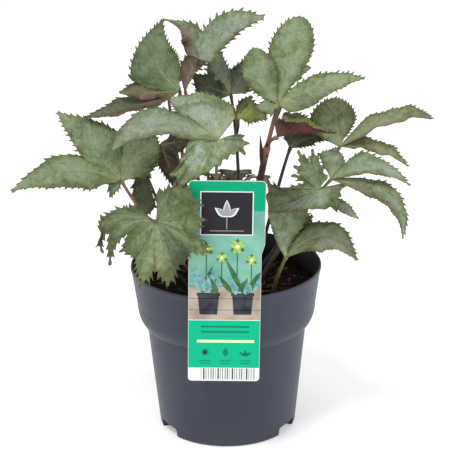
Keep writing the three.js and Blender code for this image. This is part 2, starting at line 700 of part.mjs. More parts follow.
function rootHole(leaf) {
  const size = leaf.cane ? CANE : PETIOLE;
  const radius = size.root + 2 * GAP;
  const bottom = soilHeight(...leaf.crown) + 1.5 - size.depth - GAP;
  const length = 40;
  const hole = new THREE.CylinderGeometry(radius, radius, length, 6).rotateX(Math.PI / 2);
  return solidOf(hole.translate(...leaf.crown, bottom + length / 2));
}

// ---- Materials and assembly -------------------------------------------------------------------

const material = (color, roughness) => new THREE.MeshStandardMaterial({ color, roughness, metalness: 0 });
const SLATE_PLASTIC = material(0x5f626d, 0.45);
const PEAT = material(0x2b1d16, 1);
const CARD_GREEN = material(0x19b98a, 0.35);
const STEM_RED = material(0x7a4436, 0.6);
const LEAF_GREEN = material(0x8fa68d, 0.6);
const YOUNG_RED = material(0x7c3f3c, 0.55);
const YOUNG_GREEN = material(0x9aa65c, 0.55);
const YOUNG = { young_red: YOUNG_RED, young_mid: YOUNG_GREEN };

const plant = new THREE.Group();

function addPiece(name, geometry, look) {
  geometry.computeVertexNormals();
  const mesh = new THREE.Mesh(geometry, look);
  mesh.name = name;
  plant.add(mesh);
  return mesh;
}

const rooted = LEAVES.filter((leaf) => leaf.crown);
const cardSlot = solidOf(tongueGeometry(CARD.thick + 2 * GAP, CARD.tongueWidth + 2 * GAP, GAP));

addPiece("pot", potGeometry(), SLATE_PLASTIC);
addPiece("soil", soilGeometry([...rooted.map(rootHole), cardSlot]), PEAT);
addPiece("card_label", geometryOf(cardGeometry()), CARD_GREEN);

for (const leaf of rooted) {
  let stem = petioleSolid(leaf);
  for (const branch of LEAVES.filter((other) => other.onto === leaf.name)) {
    stem = stem.add(petioleSolid(branch));
  }
  addPiece(`${leaf.cane ? "cane" : "petiole"}_${leaf.name}`, geometryOf(stem), STEM_RED);
}
for (const leaf of LEAVES) {
  addPiece(`leaf_${leaf.name}`, geometryOf(bladeSolid(leaf)), YOUNG[leaf.name] || LEAF_GREEN);
}

export default plant;
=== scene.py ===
"""A young hellebore in its nursery pot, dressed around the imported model.

Lengths are in millimetres, and scaled to metres as each piece is made; only the lamps and the
camera's distance are in metres. Colours are of 0 to 255, as a screen shows them.
"""

import math
import random

import bmesh
import bpy
from mathutils import Matrix, Vector, noise


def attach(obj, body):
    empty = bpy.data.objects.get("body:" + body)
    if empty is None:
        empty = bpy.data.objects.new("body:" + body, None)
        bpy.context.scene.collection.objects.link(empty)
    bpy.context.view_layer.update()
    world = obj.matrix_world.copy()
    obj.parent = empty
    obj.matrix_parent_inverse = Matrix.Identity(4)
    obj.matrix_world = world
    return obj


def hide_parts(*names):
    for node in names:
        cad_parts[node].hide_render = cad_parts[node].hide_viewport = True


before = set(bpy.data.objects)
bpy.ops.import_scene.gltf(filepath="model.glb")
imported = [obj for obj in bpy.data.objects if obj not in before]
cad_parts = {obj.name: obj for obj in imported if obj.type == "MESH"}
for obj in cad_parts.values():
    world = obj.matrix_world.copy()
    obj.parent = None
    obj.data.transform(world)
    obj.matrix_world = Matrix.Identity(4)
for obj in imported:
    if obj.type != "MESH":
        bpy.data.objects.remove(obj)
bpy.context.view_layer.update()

MM = 0.001
UP_AXIS = Vector((0, 0, 1))

# ---- Named sizes ------------------------------------------------------------------------------

POT_HEIGHT = 152
POT_WALL = 1.8
FOOT_RADIUS = 61.7
FOOT_RING_TOP = 10.7
SHOULDER_LOW = 96
SHOULDER_HIGH = 114
BODY_TOP_RADIUS = 71.4
COLLAR_RADIUS = 79.6
COLLAR_RISE = 34.4
LIP_STEP = 0.6
RIM_RADIUS = 85
FLOOR = 3.2
RECESS_TURNS = (90, 210, 330)
RECESS_DEPTH, RECESS_WIDTH, RECESS_HEIGHT = 8, 26, 8.5
RECESS_ROUNDING = 2.6
DRAIN_RADIUS = 2.8
PROFILE_STEPS = 144

SOIL_TOP = 132
SOIL_MOUND = 3
SOIL_RIPPLE = 1.6
SOIL_GAP = 0.3

CARD_WIDTH = 64.2
CARD_HEIGHT = 182
CARD_THICK = 0.8
CARD_STEP = 2.7
CARD_CORNER = 3.2
CARD_BOTTOM = 76
CARD_SHIFT = -2.0
CARD_LEAN = math.radians(1.3)
CARD_BACK = 85.5
# How far below the card's top the step in its right edge begins and ends.
STEP_START, STEP_END = 56, 65
TONGUE_THICK = 0.7
TONGUE_HALF = 12
TONGUE_TIP_HALF = 3
TONGUE_MIDDLE = 1.8
# The print: its gap to the card's edge, its half width above the step and its reach to the right
# below it, the heights where its bands meet, and how far the first ink stands out and each layer
# over the one below.
PRINT_MARGIN = 0.3
PRINT_HALF = CARD_WIDTH / 2 - PRINT_MARGIN
PRINT_RIGHT = PRINT_HALF - CARD_STEP
PRINT_BANDS = (155.5, 88, 57, 12.5)
INK_BASE, INK_STEP = 0.02, 0.016

# A leaflet: the share at its hub without teeth, the curl of its margins, the height and number
# of its waves, its thickness, its half width at the hub, and the least one at hub and tip.
BLADE_BARE = 0.16
BLADE_CURL = math.radians(-25)
BLADE_WAVE = 1.5
BLADE_WAVES = 2.2
BLADE_THICK = 0.5
BLADE_AT_HUB = 1.2
BLADE_LEAST = (1.5, 0.35)

# Stems: their radii at the root and at the top, where the cane has its nodes and its fork, as
# shares of its length, its radius above the fork, and how far nodes and hubs swell.
CANE_RADII = (3.2, 2.9)
BRANCH_RADII = (1.7, 1.5)
PETIOLE_RADII = (1.9, 1.3)
CANE_NODES = (0.3, 0.52, 0.7)
CANE_FORK = 0.7
CANE_ABOVE_FORK = 1.9
NODE_SWELL = 0.6
HUB_SWELL = 0.6

# The camera: its picture's width and focal length in pixels, and how it stands to its target.
PICTURE_WIDTH = 450
FOCAL_LENGTH = 1806.2
SENSOR_WIDTH = 36
CAMERA_TILT = math.radians(20.05)
CAMERA_ROLL = math.radians(-0.685)
CAMERA_TARGET = (-0.463, 0, 187.64)
CAMERA_DISTANCE = 1.6

FLOOR_RADIUS = 6000
FLOOR_DROP = 0.3
FLOOR_GLOW = 0.32
ROOM_LIGHT = 0.85
# Each lamp's name, place, target and width in metres, and power in watts.
LAMPS = (
    ("key", (-0.6, -1.0, 2.1), (0, 0, 0.22), 0.6, 22),
    ("fill", (1.5, -1.1, 1.0), (0, 0, 0.2), 1.2, 7),
)

# ---- Leaves -----------------------------------------------------------------------------------

# Ways that a leaflet's upper side looks.
FRONT = (0, -0.8, 0.6)
STEEP = (0, -0.9, 0.45)
OPEN = (0, -0.6, 0.8)
SKY = (0, 0.2, 1)
BACK = (0, 0.35, 0.95)

# Tones of upper sides, of undersides and of stems.
SAGE = (138, 152, 124)
SILVER = (143, 156, 135)
OLIVE = (113, 130, 99)
DEEP = (112, 123, 98)
SHADED = (88, 98, 74)
DULL = (126, 137, 110)
PALE_UNDER = (150, 150, 128)
PINK_UNDER = (142, 116, 106)
BROWN_UNDER = (100, 74, 60)
STEM_RED = (66, 38, 32)
STEM_DARK = (44, 31, 25)
STEM_GREEN = (110, 112, 72)
STEM_PINK = (112, 78, 64)


def toothed(via, tip, face, wide, teeth, **own):
    """One toothed leaflet, whose midrib runs from the leaf's hub through via to its tip.

    Its face is the way that its upper side looks, and end_face the way that it has turned to
    between the two places in turn. Of its left and right half, wide is the width, peak the place
    along the midrib where it is widest, margins how much of the full teeth it has, and turned how
    much of the underside's colour it shows, where it is rolled or folded. taper is how fast the
    leaflet widens from the hub, blunt how full its end is (less is fuller), fold the rise of its
    halves in degrees, spine the length of its teeth, and tone its upper side's colour, which for
    some leaflets is lightened by painted light and for others darkened by painted shade.
    """
    usual = {"peak": (0.42, 0.42), "taper": 0.65, "blunt": 1.1, "fold": 12, "spine": 3.2,
             "turn": (0, 1), "end_face": face, "margins": (1, 1), "turned": (0, 0)}
    return {**usual, "via": via, "tip": tip, "face": face, "wide": wide, "teeth": teeth, **own}


# Each leaf springs from the soil at its crown point, or forks off another leaf's stem, and its
# petiole passes through bend on the way to the hub. Its tones are those of its upper side and of
# its underside, and stem has those of its petiole's lower and upper end.
LEAVES = [
    dict(name="left_low", hub=(-89, -30, 240), bend=(-66, -36, 205), crown=(-22, -18),
         tones=((136, 151, 119), PALE_UNDER), stem=(STEM_RED, (128, 92, 74)), leaflets=[
        toothed((-135, -44, 255), (-181, -55, 240), OPEN, (19, 16), 7, margins=(0.7, 1)),
        toothed((-117, -25, 271), (-143, -15, 298), (0.2, -0.75, 0.6), (10, 28), 7,
                peak=(0.42, 0.36), taper=1),
        toothed((-75, -18, 261), (-59, -2, 271), (-0.1, -0.75, 0.65), (24, 20), 5, taper=1.3,
                blunt=0.8, tone=(122, 134, 100)),
        toothed((-95, -34, 237), (-98, -38, 228), FRONT, (5, 5), 2)]),
    dict(name="rim_left", hub=(-59, -66, 216), bend=(-60, -44, 190), crown=(-34, -22),
         tones=((135, 150, 117), PALE_UNDER), stem=(STEM_DARK, STEM_GREEN), leaflets=[]),
    # Its lobed blade's pale tone is in part a painted light, lifted where the leaflets above shade
    # it.
    dict(name="centre_front", hub=(-6, -50, 282), bend=(-8, -36, 215), crown=(-8, -22),
         tones=(SILVER, PALE_UNDER), stem=(STEM_DARK, (156, 124, 108)), lobe_tone=(180, 196, 180),
         leaflets=[
        toothed((-52, -56, 299), (-93, -68, 280), (0, -0.5, 0.86), (14, 18), 7, peak=(0.36, 0.6),
                blunt=0.8, margins=(0.35, 1), turned=(0.25, 0)),
        toothed((-30, -26, 301), (-47, -8, 306), (0.1, -0.75, 0.65), (8, 30), 7, peak=(0.42, 0.25),
                taper=4.5, tone=(154, 169, 148))]),
    dict(name="top_right", hub=(47, 0, 298), bend=(31, 0, 230), crown=(16, 0), cane=True,
         tones=((136, 152, 120), PINK_UNDER), stem=((58, 30, 26), (140, 100, 86)), leaflets=[
        toothed((34, 2, 321), (27, 10, 346), (-0.1, -0.85, 0.5), (15, 14), 7, peak=(0.6, 0.6),
                taper=3, blunt=0.6, margins=(1, 0.4)),
        toothed((59, 12, 334), (68, 26, 369), STEEP, (21, 15), 8, peak=(0.58, 0.66), blunt=0.55,
                margins=(1, 0.75)),
        toothed((86, -8, 318), (120, -14, 324), (0, -0.75, 0.65), (10, 15), 7, peak=(0.42, 0.25),
                taper=2, margins=(1, 0.3), turned=(0, 0.15)),
        toothed((38, -4, 297), (27, -8, 298), FRONT, (7, 7), 3)]),
    dict(name="young_red", hub=(46, -12, 272), bend=(39, -5, 266), onto="top_right", fork=0.68,
         tones=((136, 144, 78), (112, 60, 58)), stem=((96, 54, 44), (140, 94, 80)), leaflets=[
        toothed((66, -18, 277), (95, -28, 280), SKY, (24, 18), 7, peak=(0.2, 0.2), taper=3,
                fold=65)]),
    dict(name="small_right", hub=(58, 12, 255), bend=(47, 8, 220), crown=(26, 10),
         tones=(SHADED, BROWN_UNDER), stem=(STEM_DARK, (62, 52, 38)), leaflets=[
        toothed((60, 18, 264), (61, 22, 275), FRONT, (7, 7), 4),
        toothed((75, 10, 264), (93, 6, 264), FRONT, (9, 6), 5)]),
    dict(name="right_mid", hub=(101, -5, 261), bend=(70, -4, 215), crown=(30, -4),
         tones=((140, 150, 116), (160, 138, 124)), stem=(STEM_DARK, (118, 116, 88)), leaflets=[
        toothed((98, 4, 280), (99, 14, 299), (0, -0.85, 0.5), (23, 16), 7, peak=(0.5, 0.6),
                taper=1.3, blunt=0.6),
        toothed((145, -10, 286), (178, -16, 288), (0, -0.2, 1), (15, 12), 9, peak=(0.42, 0.35),
                blunt=0.7, fold=26, margins=(1, 0.15), turned=(0, 0.9)),
        toothed((131, -18, 262), (157, -33, 251), (0, -0.2, 1), (11, 12), 7, peak=(0.42, 0.2),
                fold=28, margins=(1, 0.3), turned=(0.15, 0.6))]),
    dict(name="right_low", hub=(92, -28, 239), bend=(62, -24, 198), crown=(28, -20),
         tones=((144, 161, 134), PINK_UNDER), stem=(STEM_DARK, (112, 110, 84)), leaflets=[
        toothed((126, -42, 252), (157, -52, 240), (0, -0.7, 0.7), (16.5, 5), 7, peak=(0.23, 0.42),
                margins=(1, 0.2), turned=(0, 0.4)),
        toothed((139, -47, 229), (150, -66, 197), (0, -0.5, 0.85), (9.5, 10), 8, peak=(0.5, 0.4),
                end_face=(0.6, -0.7, 0.3), margins=(1, 0.3), turned=(0, 0.6)),
        toothed((94, -20, 252), (97, -12, 262), (0, -0.85, 0.5), (16, 10), 5)]),
    dict(name="right_front", hub=(80, -50, 237), bend=(55, -31, 192), crown=(24, -32),
         tones=((134, 148, 122), PALE_UNDER), stem=(STEM_DARK, (112, 100, 80)),
         lobe_tone=(148, 162, 142), leaflets=[
        toothed((99, -54, 224), (113, -58, 213), FRONT, (4, 5), 5, peak=(0.5, 0.5),
                margins=(0.6, 0.4), turned=(0, 0.3))]),
    dict(name="rim_right", hub=(52, -55, 178), bend=(46, -46, 160), crown=(40, -38),
         tones=(DEEP, PALE_UNDER), stem=((86, 68, 46), (126, 118, 82)), leaflets=[
        # Its first leaflet's tone is lightened, a painted light on a leaflet that lies in shade.
        toothed((46, -52, 199), (37, -50, 219), (-0.1, -0.85, 0.5), (5, 30), 6, peak=(0.4, 0.72),
                taper=1.2, blunt=0.5, margins=(0.3, 1), tone=(158, 172, 150)),
        toothed((62, -46, 196), (75, -43, 211), (0, -0.85, 0.5), (12, 8), 5, tone=(92, 108, 74)),
        toothed((85, -62, 199), (111, -74, 181), (0, -0.55, 0.85), (15.5, 17), 7,
                peak=(0.42, 0.42), fold=16, margins=(1, 0.35), turned=(0, 0.7))]),
    dict(name="top_left", hub=(-38, 8, 310), bend=(-36, 14, 232), crown=(-22, 4),
         tones=(OLIVE, (112, 88, 78)), leaflets=[
        toothed((-58, 12, 336), (-52, 22, 369), (0.1, -0.9, 0.4), (29, 18), 8, peak=(0.24, 0.42),
                taper=1, spine=5),
        toothed((-76, -4, 300), (-118, -16, 293), (0, -0.25, 1), (15, 13), 7, peak=(0.42, 0.5),
                taper=1.3, blunt=0.8, fold=25, margins=(0.45, 1), turned=(1, 0),
                tone=(98, 104, 76)),
        toothed((-66, 0, 309), (-90, -6, 312), OPEN, (6, 16), 5, peak=(0.42, 0.5),
                margins=(0.4, 0.8), turned=(0.9, 0), tone=(106, 100, 76))]),
    dict(name="top_mid", hub=(-34, 21, 307), bend=(-24, 12, 230), crown=(-14, 12),
         tones=((136, 149, 126), PINK_UNDER), leaflets=[
        toothed((-25, 38, 347), (-53, 42, 364), (-0.75, -0.35, 0.4), (15, 9), 6, peak=(0.3, 0.42),
                end_face=(-0.2, -0.4, 0.9), margins=(0.3, 1), turned=(1, 0)),
        toothed((-10, 24, 346), (35, 16, 371), (0.2, 0.95, 0.3), (16, 11), 7, peak=(0.68, 0.3),
                taper=0.65, blunt=1, spine=5, end_face=STEEP, turn=(0.15, 0.5), margins=(1, 0.7),
                turned=(0, 0.15), tone=(148, 162, 142))]),
    # Its leaflets' tones are lightened, a painted light on a leaf that lies in shade among the
    # others.
    dict(name="mid_back", hub=(6, 40, 297), bend=(12, 24, 225), crown=(10, 18),
         tones=((66, 76, 52), BROWN_UNDER), stem=(STEM_DARK, (70, 52, 40)), leaflets=[
        toothed((-3, 46, 320), (-7, 56, 339), FRONT, (12, 6), 5, tone=(138, 152, 132)),
        toothed((-11, 36, 304), (-27, 40, 316), FRONT, (15, 12), 4, tone=(80, 90, 66)),
        toothed((14, 46, 309), (20, 52, 326), FRONT, (13, 12), 4, taper=1.2,
                tone=(106, 116, 100))]),
    dict(name="young_mid", hub=(11, 20, 280), bend=(12, 24, 273), onto="mid_back", fork=0.74,
         tones=((112, 118, 56), (110, 76, 52)), leaflets=[
        toothed((24, 15, 286), (37, 11, 281), FRONT, (10, 10), 4, spine=6, tone=(150, 158, 80)),
        toothed((17, 22, 292), (25, 26, 298), FRONT, (4, 5), 3, tone=(82, 88, 46)),
        toothed((5, 22, 286), (1, 25, 292), FRONT, (5, 4), 3, tone=(80, 86, 44))]),
    dict(name="behind_label", hub=(2, 50, 189), bend=(3, 42, 165), crown=(4, 30),
         tones=(SHADED, BROWN_UNDER), leaflets=[
        toothed((7, 56, 203), (11, 60, 217), FRONT, (12, 12), 4),
        toothed((-10, 52, 206), (-16, 50, 212), FRONT, (10, 10), 4),
        toothed((17, 54, 200), (28, 56, 208), FRONT, (10, 10), 4)]),
    # The dark red-brown tones of its first and last leaflets are partly an old leaf's own colour
    # and partly painted shade, where they hang among the stems.
    dict(name="hanging_left", hub=(-56, 6, 261), bend=(-42, 17, 215), crown=(-30, 6),
         tones=((100, 90, 68), BROWN_UNDER), leaflets=[
        toothed((-49, 2, 243), (-43, -3, 223), STEEP, (8, 8), 5, peak=(0.35, 0.35), blunt=0.8,
                tone=(84, 54, 44)),
        toothed((-72, -5, 230), (-73, -22, 202), STEEP, (13, 7), 4, peak=(0.8, 0.5),
                tone=(98, 102, 74)),
        toothed((-41, 0, 265), (-26, -6, 269), FRONT, (9, 9), 4, tone=(66, 52, 40))]),
    dict(name="back_mid", hub=(-20, 52, 262), bend=(-14, 44, 205), crown=(-10, 30),
         tones=(SAGE, PALE_UNDER), leaflets=[
        toothed((-44, 66, 272), (-70, 84, 262), BACK, (15, 16), 4),
        toothed((-16, 78, 270), (-12, 106, 256), BACK, (17, 16), 4),
        toothed((-4, 64, 268), (6, 74, 262), SKY, (8, 9), 4)]),
    dict(name="back_right", hub=(74, 44, 188), bend=(52, 34, 162), crown=(30, 22),
         tones=(SAGE, PALE_UNDER), leaflets=[
        toothed((88, 48, 192), (102, 52, 180), SKY, (13, 13), 4),
        toothed((86, 70, 196), (96, 92, 188), BACK, (16, 16), 4),
        toothed((70, 70, 190), (68, 92, 180), BACK, (14, 14), 4)]),
    dict(name="back_left", hub=(-74, 38, 234), bend=(-56, 34, 186), crown=(-32, 22),
         tones=(DULL, PALE_UNDER), leaflets=[
        toothed((-98, 44, 244), (-124, 46, 230), SKY, (14, 14), 4),
        toothed((-86, 64, 242), (-96, 92, 230), BACK, (16, 16), 4),
        toothed((-58, 60, 240), (-44, 82, 228), BACK, (13, 13), 4)]),
    dict(name="back_top_left", hub=(-50, 48, 296), bend=(-40, 34, 225), crown=(-24, 20),
         tones=(SAGE, PINK_UNDER), leaflets=[
        toothed((-64, 60, 312), (-74, 70, 326), (-0.3, 0.6, 0.7), (15, 15), 4),
        toothed((-50, 76, 310), (-50, 102, 308), SKY, (16, 15), 4),
        toothed((-32, 62, 312), (-20, 78, 322), (0.2, 0.6, 0.8), (12, 12), 4)]),
    dict(name="back_top_right", hub=(56, 50, 296), bend=(48, 24, 284), onto="top_right", fork=0.84,
         tones=(SILVER, PINK_UNDER), stem=(STEM_RED, STEM_GREEN), leaflets=[
        toothed((48, 62, 310), (44, 72, 322), (-0.2, 0.6, 0.8), (14, 14), 4),
        toothed((62, 76, 310), (66, 104, 304), BACK, (16, 16), 4),
        toothed((80, 54, 300), (102, 58, 292), (0.2, 0.1, 1), (13, 14), 4)]),
    dict(name="back_low", hub=(10, 76, 196), bend=(10, 64, 168), crown=(8, 40),
         tones=(DEEP, PALE_UNDER), leaflets=[
        toothed((10, 96, 206), (10, 118, 190), BACK, (15, 15), 4),
        toothed((-12, 88, 206), (-36, 96, 198), BACK, (12, 12), 4),
        toothed((28, 86, 204), (40, 100, 192), BACK, (12, 12), 4)]),
]

BY_NAME = {leaf["name"]: leaf for leaf in LEAVES}

# ---- Small helpers ----------------------------------------------------------------------------


def clamp(x, low=0.0, high=1.0):
    return max(low, min(high, x))


def lerp(a, b, share):
    return a + (b - a) * share


def eased(x):
    share = clamp(x)
    return share * share * (3 - 2 * share)


def draw(number):
    """A repeatable draw from 0 to 1 for a number."""
    x = math.sin(number * 12.9898 + 4.1414) * 43758.5453
    return x - math.floor(x)


def linear(rgb):
    """A colour of 0 to 255 as the light it stands for."""
    shares = [channel / 255 for channel in rgb]
    light = [s / 12.92 if s <= 0.04045 else ((s + 0.055) / 1.055) ** 2.4 for s in shares]
    return (*light, 1.0)


def stored(light, amount):
    """A linear colour as a mesh stores it, made lighter or darker."""
    return [channel * amount for channel in light[:3]] + [1]


def control_through(start, via, end):
    """The control point of the curve from start to end that passes through via halfway."""
    return 2 * Vector(via) - 0.5 * start - 0.5 * end


def on_curve(start, control, end, t):
    return start * (1 - t) ** 2 + control * (2 * t * (1 - t)) + end * t ** 2


def sharpen(bm, degrees):
    """A crease in a smooth mesh wherever two faces meet more steeply than degrees."""
    limit = math.radians(degrees)
    for edge in bm.edges:
        edge.smooth = len(edge.link_faces) != 2 or edge.calc_face_angle(0) < limit


def add_object(name, bm, looks=()):
    """A new object of the scene with the bmesh as its mesh."""
    mesh = bpy.data.meshes.new(name)
    bm.to_mesh(mesh)
    bm.free()
    for look in looks:
        mesh.materials.append(look)
    made = bpy.data.objects.new(name, mesh)
    bpy.context.scene.collection.objects.link(made)
    return made


def finish_piece(name, bm, looks, replaces=(), crease=None):
    """Turns a bmesh in millimetres into a piece of the object that rides on its body."""
    bmesh.ops.transform(bm, matrix=Matrix.Scale(MM, 4), verts=bm.verts)
    for face in bm.faces:
        face.smooth = True
    if crease is not None:
        sharpen(bm, crease)
    piece = add_object(name, bm, looks)
    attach(piece, "root")
    if replaces:
        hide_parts(*replaces)
    return piece


def mapped_grid(bm, columns, rows, place):
    """A grid of columns by rows faces whose corners are put where place(i, j, corner) says."""
    made = bmesh.ops.create_grid(bm, x_segments=columns, y_segments=rows, size=0.5)
    for corner in made["verts"]:
        i = round((corner.co.x + 0.5) * columns)
        j = round((corner.co.y + 0.5) * rows)
        corner.co = place(i, j, corner)
    return made["verts"]


# ---- Shader maths -----------------------------------------------------------------------------


def maths(operation):
    """An operator's two methods: with the wire first, and reflected, with the wire last."""
    return (lambda wire, other: wire.sum(operation, other),
            lambda wire, other: wire.back(operation, other))


class Wire:
    """One socket of a material, on which sums can be written as expressions."""

    __add__, __radd__ = maths("ADD")
    __sub__, __rsub__ = maths("SUBTRACT")
    __mul__, __rmul__ = maths("MULTIPLY")
    __pow__, __rpow__ = maths("POWER")

    def __init__(self, look, socket):
        self.look = look
        self.socket = socket

    def sum(self, operation, *others):
        return self.look.node("ShaderNodeMath", {"operation": operation}, [self, *others])

    def back(self, operation, other):
        return self.look.node("ShaderNodeMath", {"operation": operation}, [other, self])

    def between(self, low, high):
        """0 below low, 1 above high, and smooth from one to the other."""
        ends = {"interpolation_type": "SMOOTHSTEP", "clamp": True}
        return self.look.node("ShaderNodeMapRange", ends, [self, low, high, 0.0, 1.0])


class Look:
    """A material and its nodes."""

    def __init__(self, name, roughness, specular=0.4):
        self.material = bpy.data.materials.new(name)
        self.material.use_nodes = True
        self.tree = self.material.node_tree
        self.shader = next(n for n in self.tree.nodes if n.type == "BSDF_PRINCIPLED")
        self.shader.inputs["Roughness"].default_value = roughness
        self.shader.inputs["Specular IOR Level"].default_value = specular

    def node(self, kind, settings=None, inputs=(), output=0):
        """Any node: its settings are set first, then the values or links of its sockets."""
        made = self.tree.nodes.new(kind)
        for key, value in (settings or {}).items():
            setattr(made, key, value)
        pairs = inputs.items() if isinstance(inputs, dict) else enumerate(inputs)
        for key, value in pairs:
            if isinstance(value, Wire):
                self.tree.links.new(value.socket, made.inputs[key])
            elif value is not None:
                made.inputs[key].default_value = value
        return Wire(self, made.outputs[output])

    def feed(self, name, wire):
        self.tree.links.new(wire.socket, self.shader.inputs[name])

    def place(self):
        """The point on the piece, in metres."""
        return self.node("ShaderNodeTexCoord", output="Object")

    def attribute(self, name, output):
        return self.node("ShaderNodeAttribute", {"attribute_name": name}, output=output)

    def split(self, vector, part):
        return self.node("ShaderNodeSeparateXYZ", None, [vector], output=part)

    def join(self, x, y, z):
        return self.node("ShaderNodeCombineXYZ", None, [x, y, z])

    def blend(self, share, first, second, how="MIX"):
        """A mix of two colours, from first at 0 to second at 1."""
        settings = {"data_type": "RGBA", "blend_type": how, "clamp_factor": True}
        return self.node("ShaderNodeMix", settings, {0: share, 6: first, 7: second}, output=2)

    def grain(self, place, scale, detail, rough=0.5, warp=0.0):
        """Soft noise from 0 to 1; scale is in grains to the metre."""
        inputs = {"Vector": place, "Scale": scale, "Detail": detail}
        inputs.update({"Roughness": rough, "Distortion": warp})
        return self.node("ShaderNodeTexNoise", None, inputs)

    def cells(self, place, scale, feature="F1"):
        inputs = {"Vector": place, "Scale": scale}
        return self.node("ShaderNodeTexVoronoi", {"feature": feature}, inputs)

    def relief(self, height, depth, strength):
        """Bumps of height 0 to 1 that stand depth millimetres proud."""
        inputs = {"Strength": strength, "Distance": depth * MM, "Height": height}
        bump = self.node("ShaderNodeBump", None, inputs)
        self.feed("Normal", bump)
        return bump

    def stretched(self, vector, by):
        """A place with each of its axes scaled by its own number."""
        return self.node("ShaderNodeVectorMath", {"operation": "MULTIPLY"}, [vector, by])

    def scaled(self, colour, amount):
        """A colour made lighter or darker by a number that varies over the surface."""
        first = colour if isinstance(colour, Wire) else colour[:3]
        return self.node("ShaderNodeVectorMath", {"operation": "SCALE"}, {0: first, 3: amount})


# ---- Finishes ---------------------------------------------------------------------------------


def leaf_face(name, attribute, vein, midrib, roughness, groove, vein_strength):
    """A leathery leaf: a grey bloom in patches, greener margins, side veins and a fine net."""
    look = Look(name, roughness=roughness, specular=0.35)
    place = look.place()
    lay = look.attribute("lay", "Vector")
    along = look.split(lay, 0)
    across = look.split(lay, 1).sum("ABSOLUTE")
    seat = look.attribute("seat", "Vector")
    share = look.split(seat, 0)
    edge = look.split(seat, 1)
    sway = look.grain(place, 70, 2.0) * 0.9
    vein_line = along - across * 1.25 + sway
    ripple = (vein_line * (2 * math.pi / 0.8)).sum("COSINE")
    side_vein = (ripple * 0.5 + 0.5) ** 14.0 * (1 - edge.between(0.75, 1.0))
    net = 1 - look.cells(place, 420, "DISTANCE_TO_EDGE").between(0.0, 0.12)
    rib = 1 - across.between(0.0, 0.09) + (1 - across.between(0.0, 0.25)) * 0.3
    rib_fade = rib * (1 - share.between(0.05, 0.75) * 0.9)
    cloud = look.grain(place, 48, 3.0, 0.6, 0.6)
    patch = look.grain(place, 170, 4.0, 0.65, 0.8)
    brushed = look.join(vein_line * 7, across * 1.3, look.split(lay, 2))
    streak = look.grain(brushed, 1.0, 4.0, 0.65, 0.3)
    speck = look.grain(place, 700, 3.0, 0.7)
    bloom = (cloud * 0.6 + patch * 0.25 + streak * 0.15 - edge * edge * 0.12).between(0.32, 0.58)
    bright = bloom * 0.34 + patch * 0.52 + streak * 0.52 + speck * 0.3 - net * 0.06 - 0.184
    colour = look.scaled(look.attribute(attribute, "Color"), bright)
    colour = look.blend(0.95 - bloom * 0.9, colour, (0.8, 0.88, 0.56, 1.0), "MULTIPLY")
    green_edge = edge.between(0.5, 0.95) * (1.25 - bloom * 0.7)
    colour = look.blend(green_edge * 0.7, colour, (0.78, 0.86, 0.52, 1.0), "MULTIPLY")
    base_glow = (1 - share.between(0.02, 0.28)) * 0.26
    colour = look.blend(base_glow, colour, linear(midrib))
    colour = look.blend(side_vein * vein_strength, colour, linear(vein))
    colour = look.blend(rib_fade * 0.36, colour, linear(midrib))
    dry = look.grain(place, 38, 2.0).between(0.48, 0.62)
    colour = look.blend(edge.between(0.8, 0.99) * dry * 0.4, colour, linear((98, 76, 58)))
    colour = look.blend(edge.between(0.95, 0.998) * 0.35, colour, linear((86, 74, 54)))
    look.feed("Base Color", colour)
    look.feed("Roughness", roughness - 0.1 + cloud * 0.16 + side_vein * 0.05)
    veins = ripple * 0.4 - rib - side_vein
    height = veins * groove + cloud * 4.5 + patch * 1.6 + speck * 0.2
    look.relief(height, 0.6, 0.9)
    return look.material


def leaf_rim():
    """The thin margin of a leaf, brownish red to green."""
    look = Look("leaf_margin", roughness=0.55)
    tone = look.grain(look.place(), 160, 2.0)
    look.feed("Base Color", look.blend(tone, linear((74, 62, 46)), linear((104, 108, 74))))
    return look.material


def stem_look():
    """Reddish stems: streaks along their length, pale pores, and a waxy bloom."""
    look = Look("reddish_stem", roughness=0.5, specular=0.4)
    lay = look.attribute("lay", "Vector")
    streak = look.grain(look.stretched(lay, (22, 3, 22)), 1.0, 3.0, 0.6)
    pore = 1 - look.cells(look.stretched(lay, (9, 3.5, 9)), 1.0).between(0.10, 0.22)
    cloud = look.grain(look.place(), 120, 3.0)
    tone = look.attribute("tone", "Color")
    colour = look.scaled(tone, 0.62 + streak * 0.42 + cloud * 0.36)
    colour = look.blend(pore * 0.5, colour, linear((160, 122, 96)))
    look.feed("Base Color", colour)
    look.feed("Roughness", 0.4 + cloud * 0.25)
    look.relief(streak + pore * 0.4, 0.25, 0.7)
    return look.material


def pot_look():
    """Moulded slate-grey plastic: satin, faintly mottled, dulled by handling and dust."""
    look = Look("slate_plastic", roughness=0.42, specular=0.3)
    place = look.place()
    mottle = look.grain(place, 48, 4.0, 0.65, 0.6)
    fine = look.grain(place, 420, 3.0, 0.6)
    upright = look.stretched(place, (1, 1, 0.14))
    rub = look.grain(upright, 700, 2.0, 0.7)
    scuff = look.grain(upright, 160, 4.0, 0.8, 1.0).between(0.62, 0.75)
    height = look.split(place, 2)
    dust = (1 - height.between(0.0, 0.03)) * mottle
    bright = 0.86 + mottle * 0.2 + fine * 0.07 + rub * 0.05
    colour = look.scaled(linear((51, 57, 71)), bright)
    colour = look.blend(scuff * 0.1, colour, linear((84, 90, 102)))
    colour = look.blend(dust * 0.3, colour, linear((74, 70, 70)))
    look.feed("Base Color", colour)
    look.feed("Roughness", 0.36 + mottle * 0.14 + scuff * 0.14)
    look.relief(fine * 0.6 + rub * 0.4, 0.06, 0.6)
    return look.material


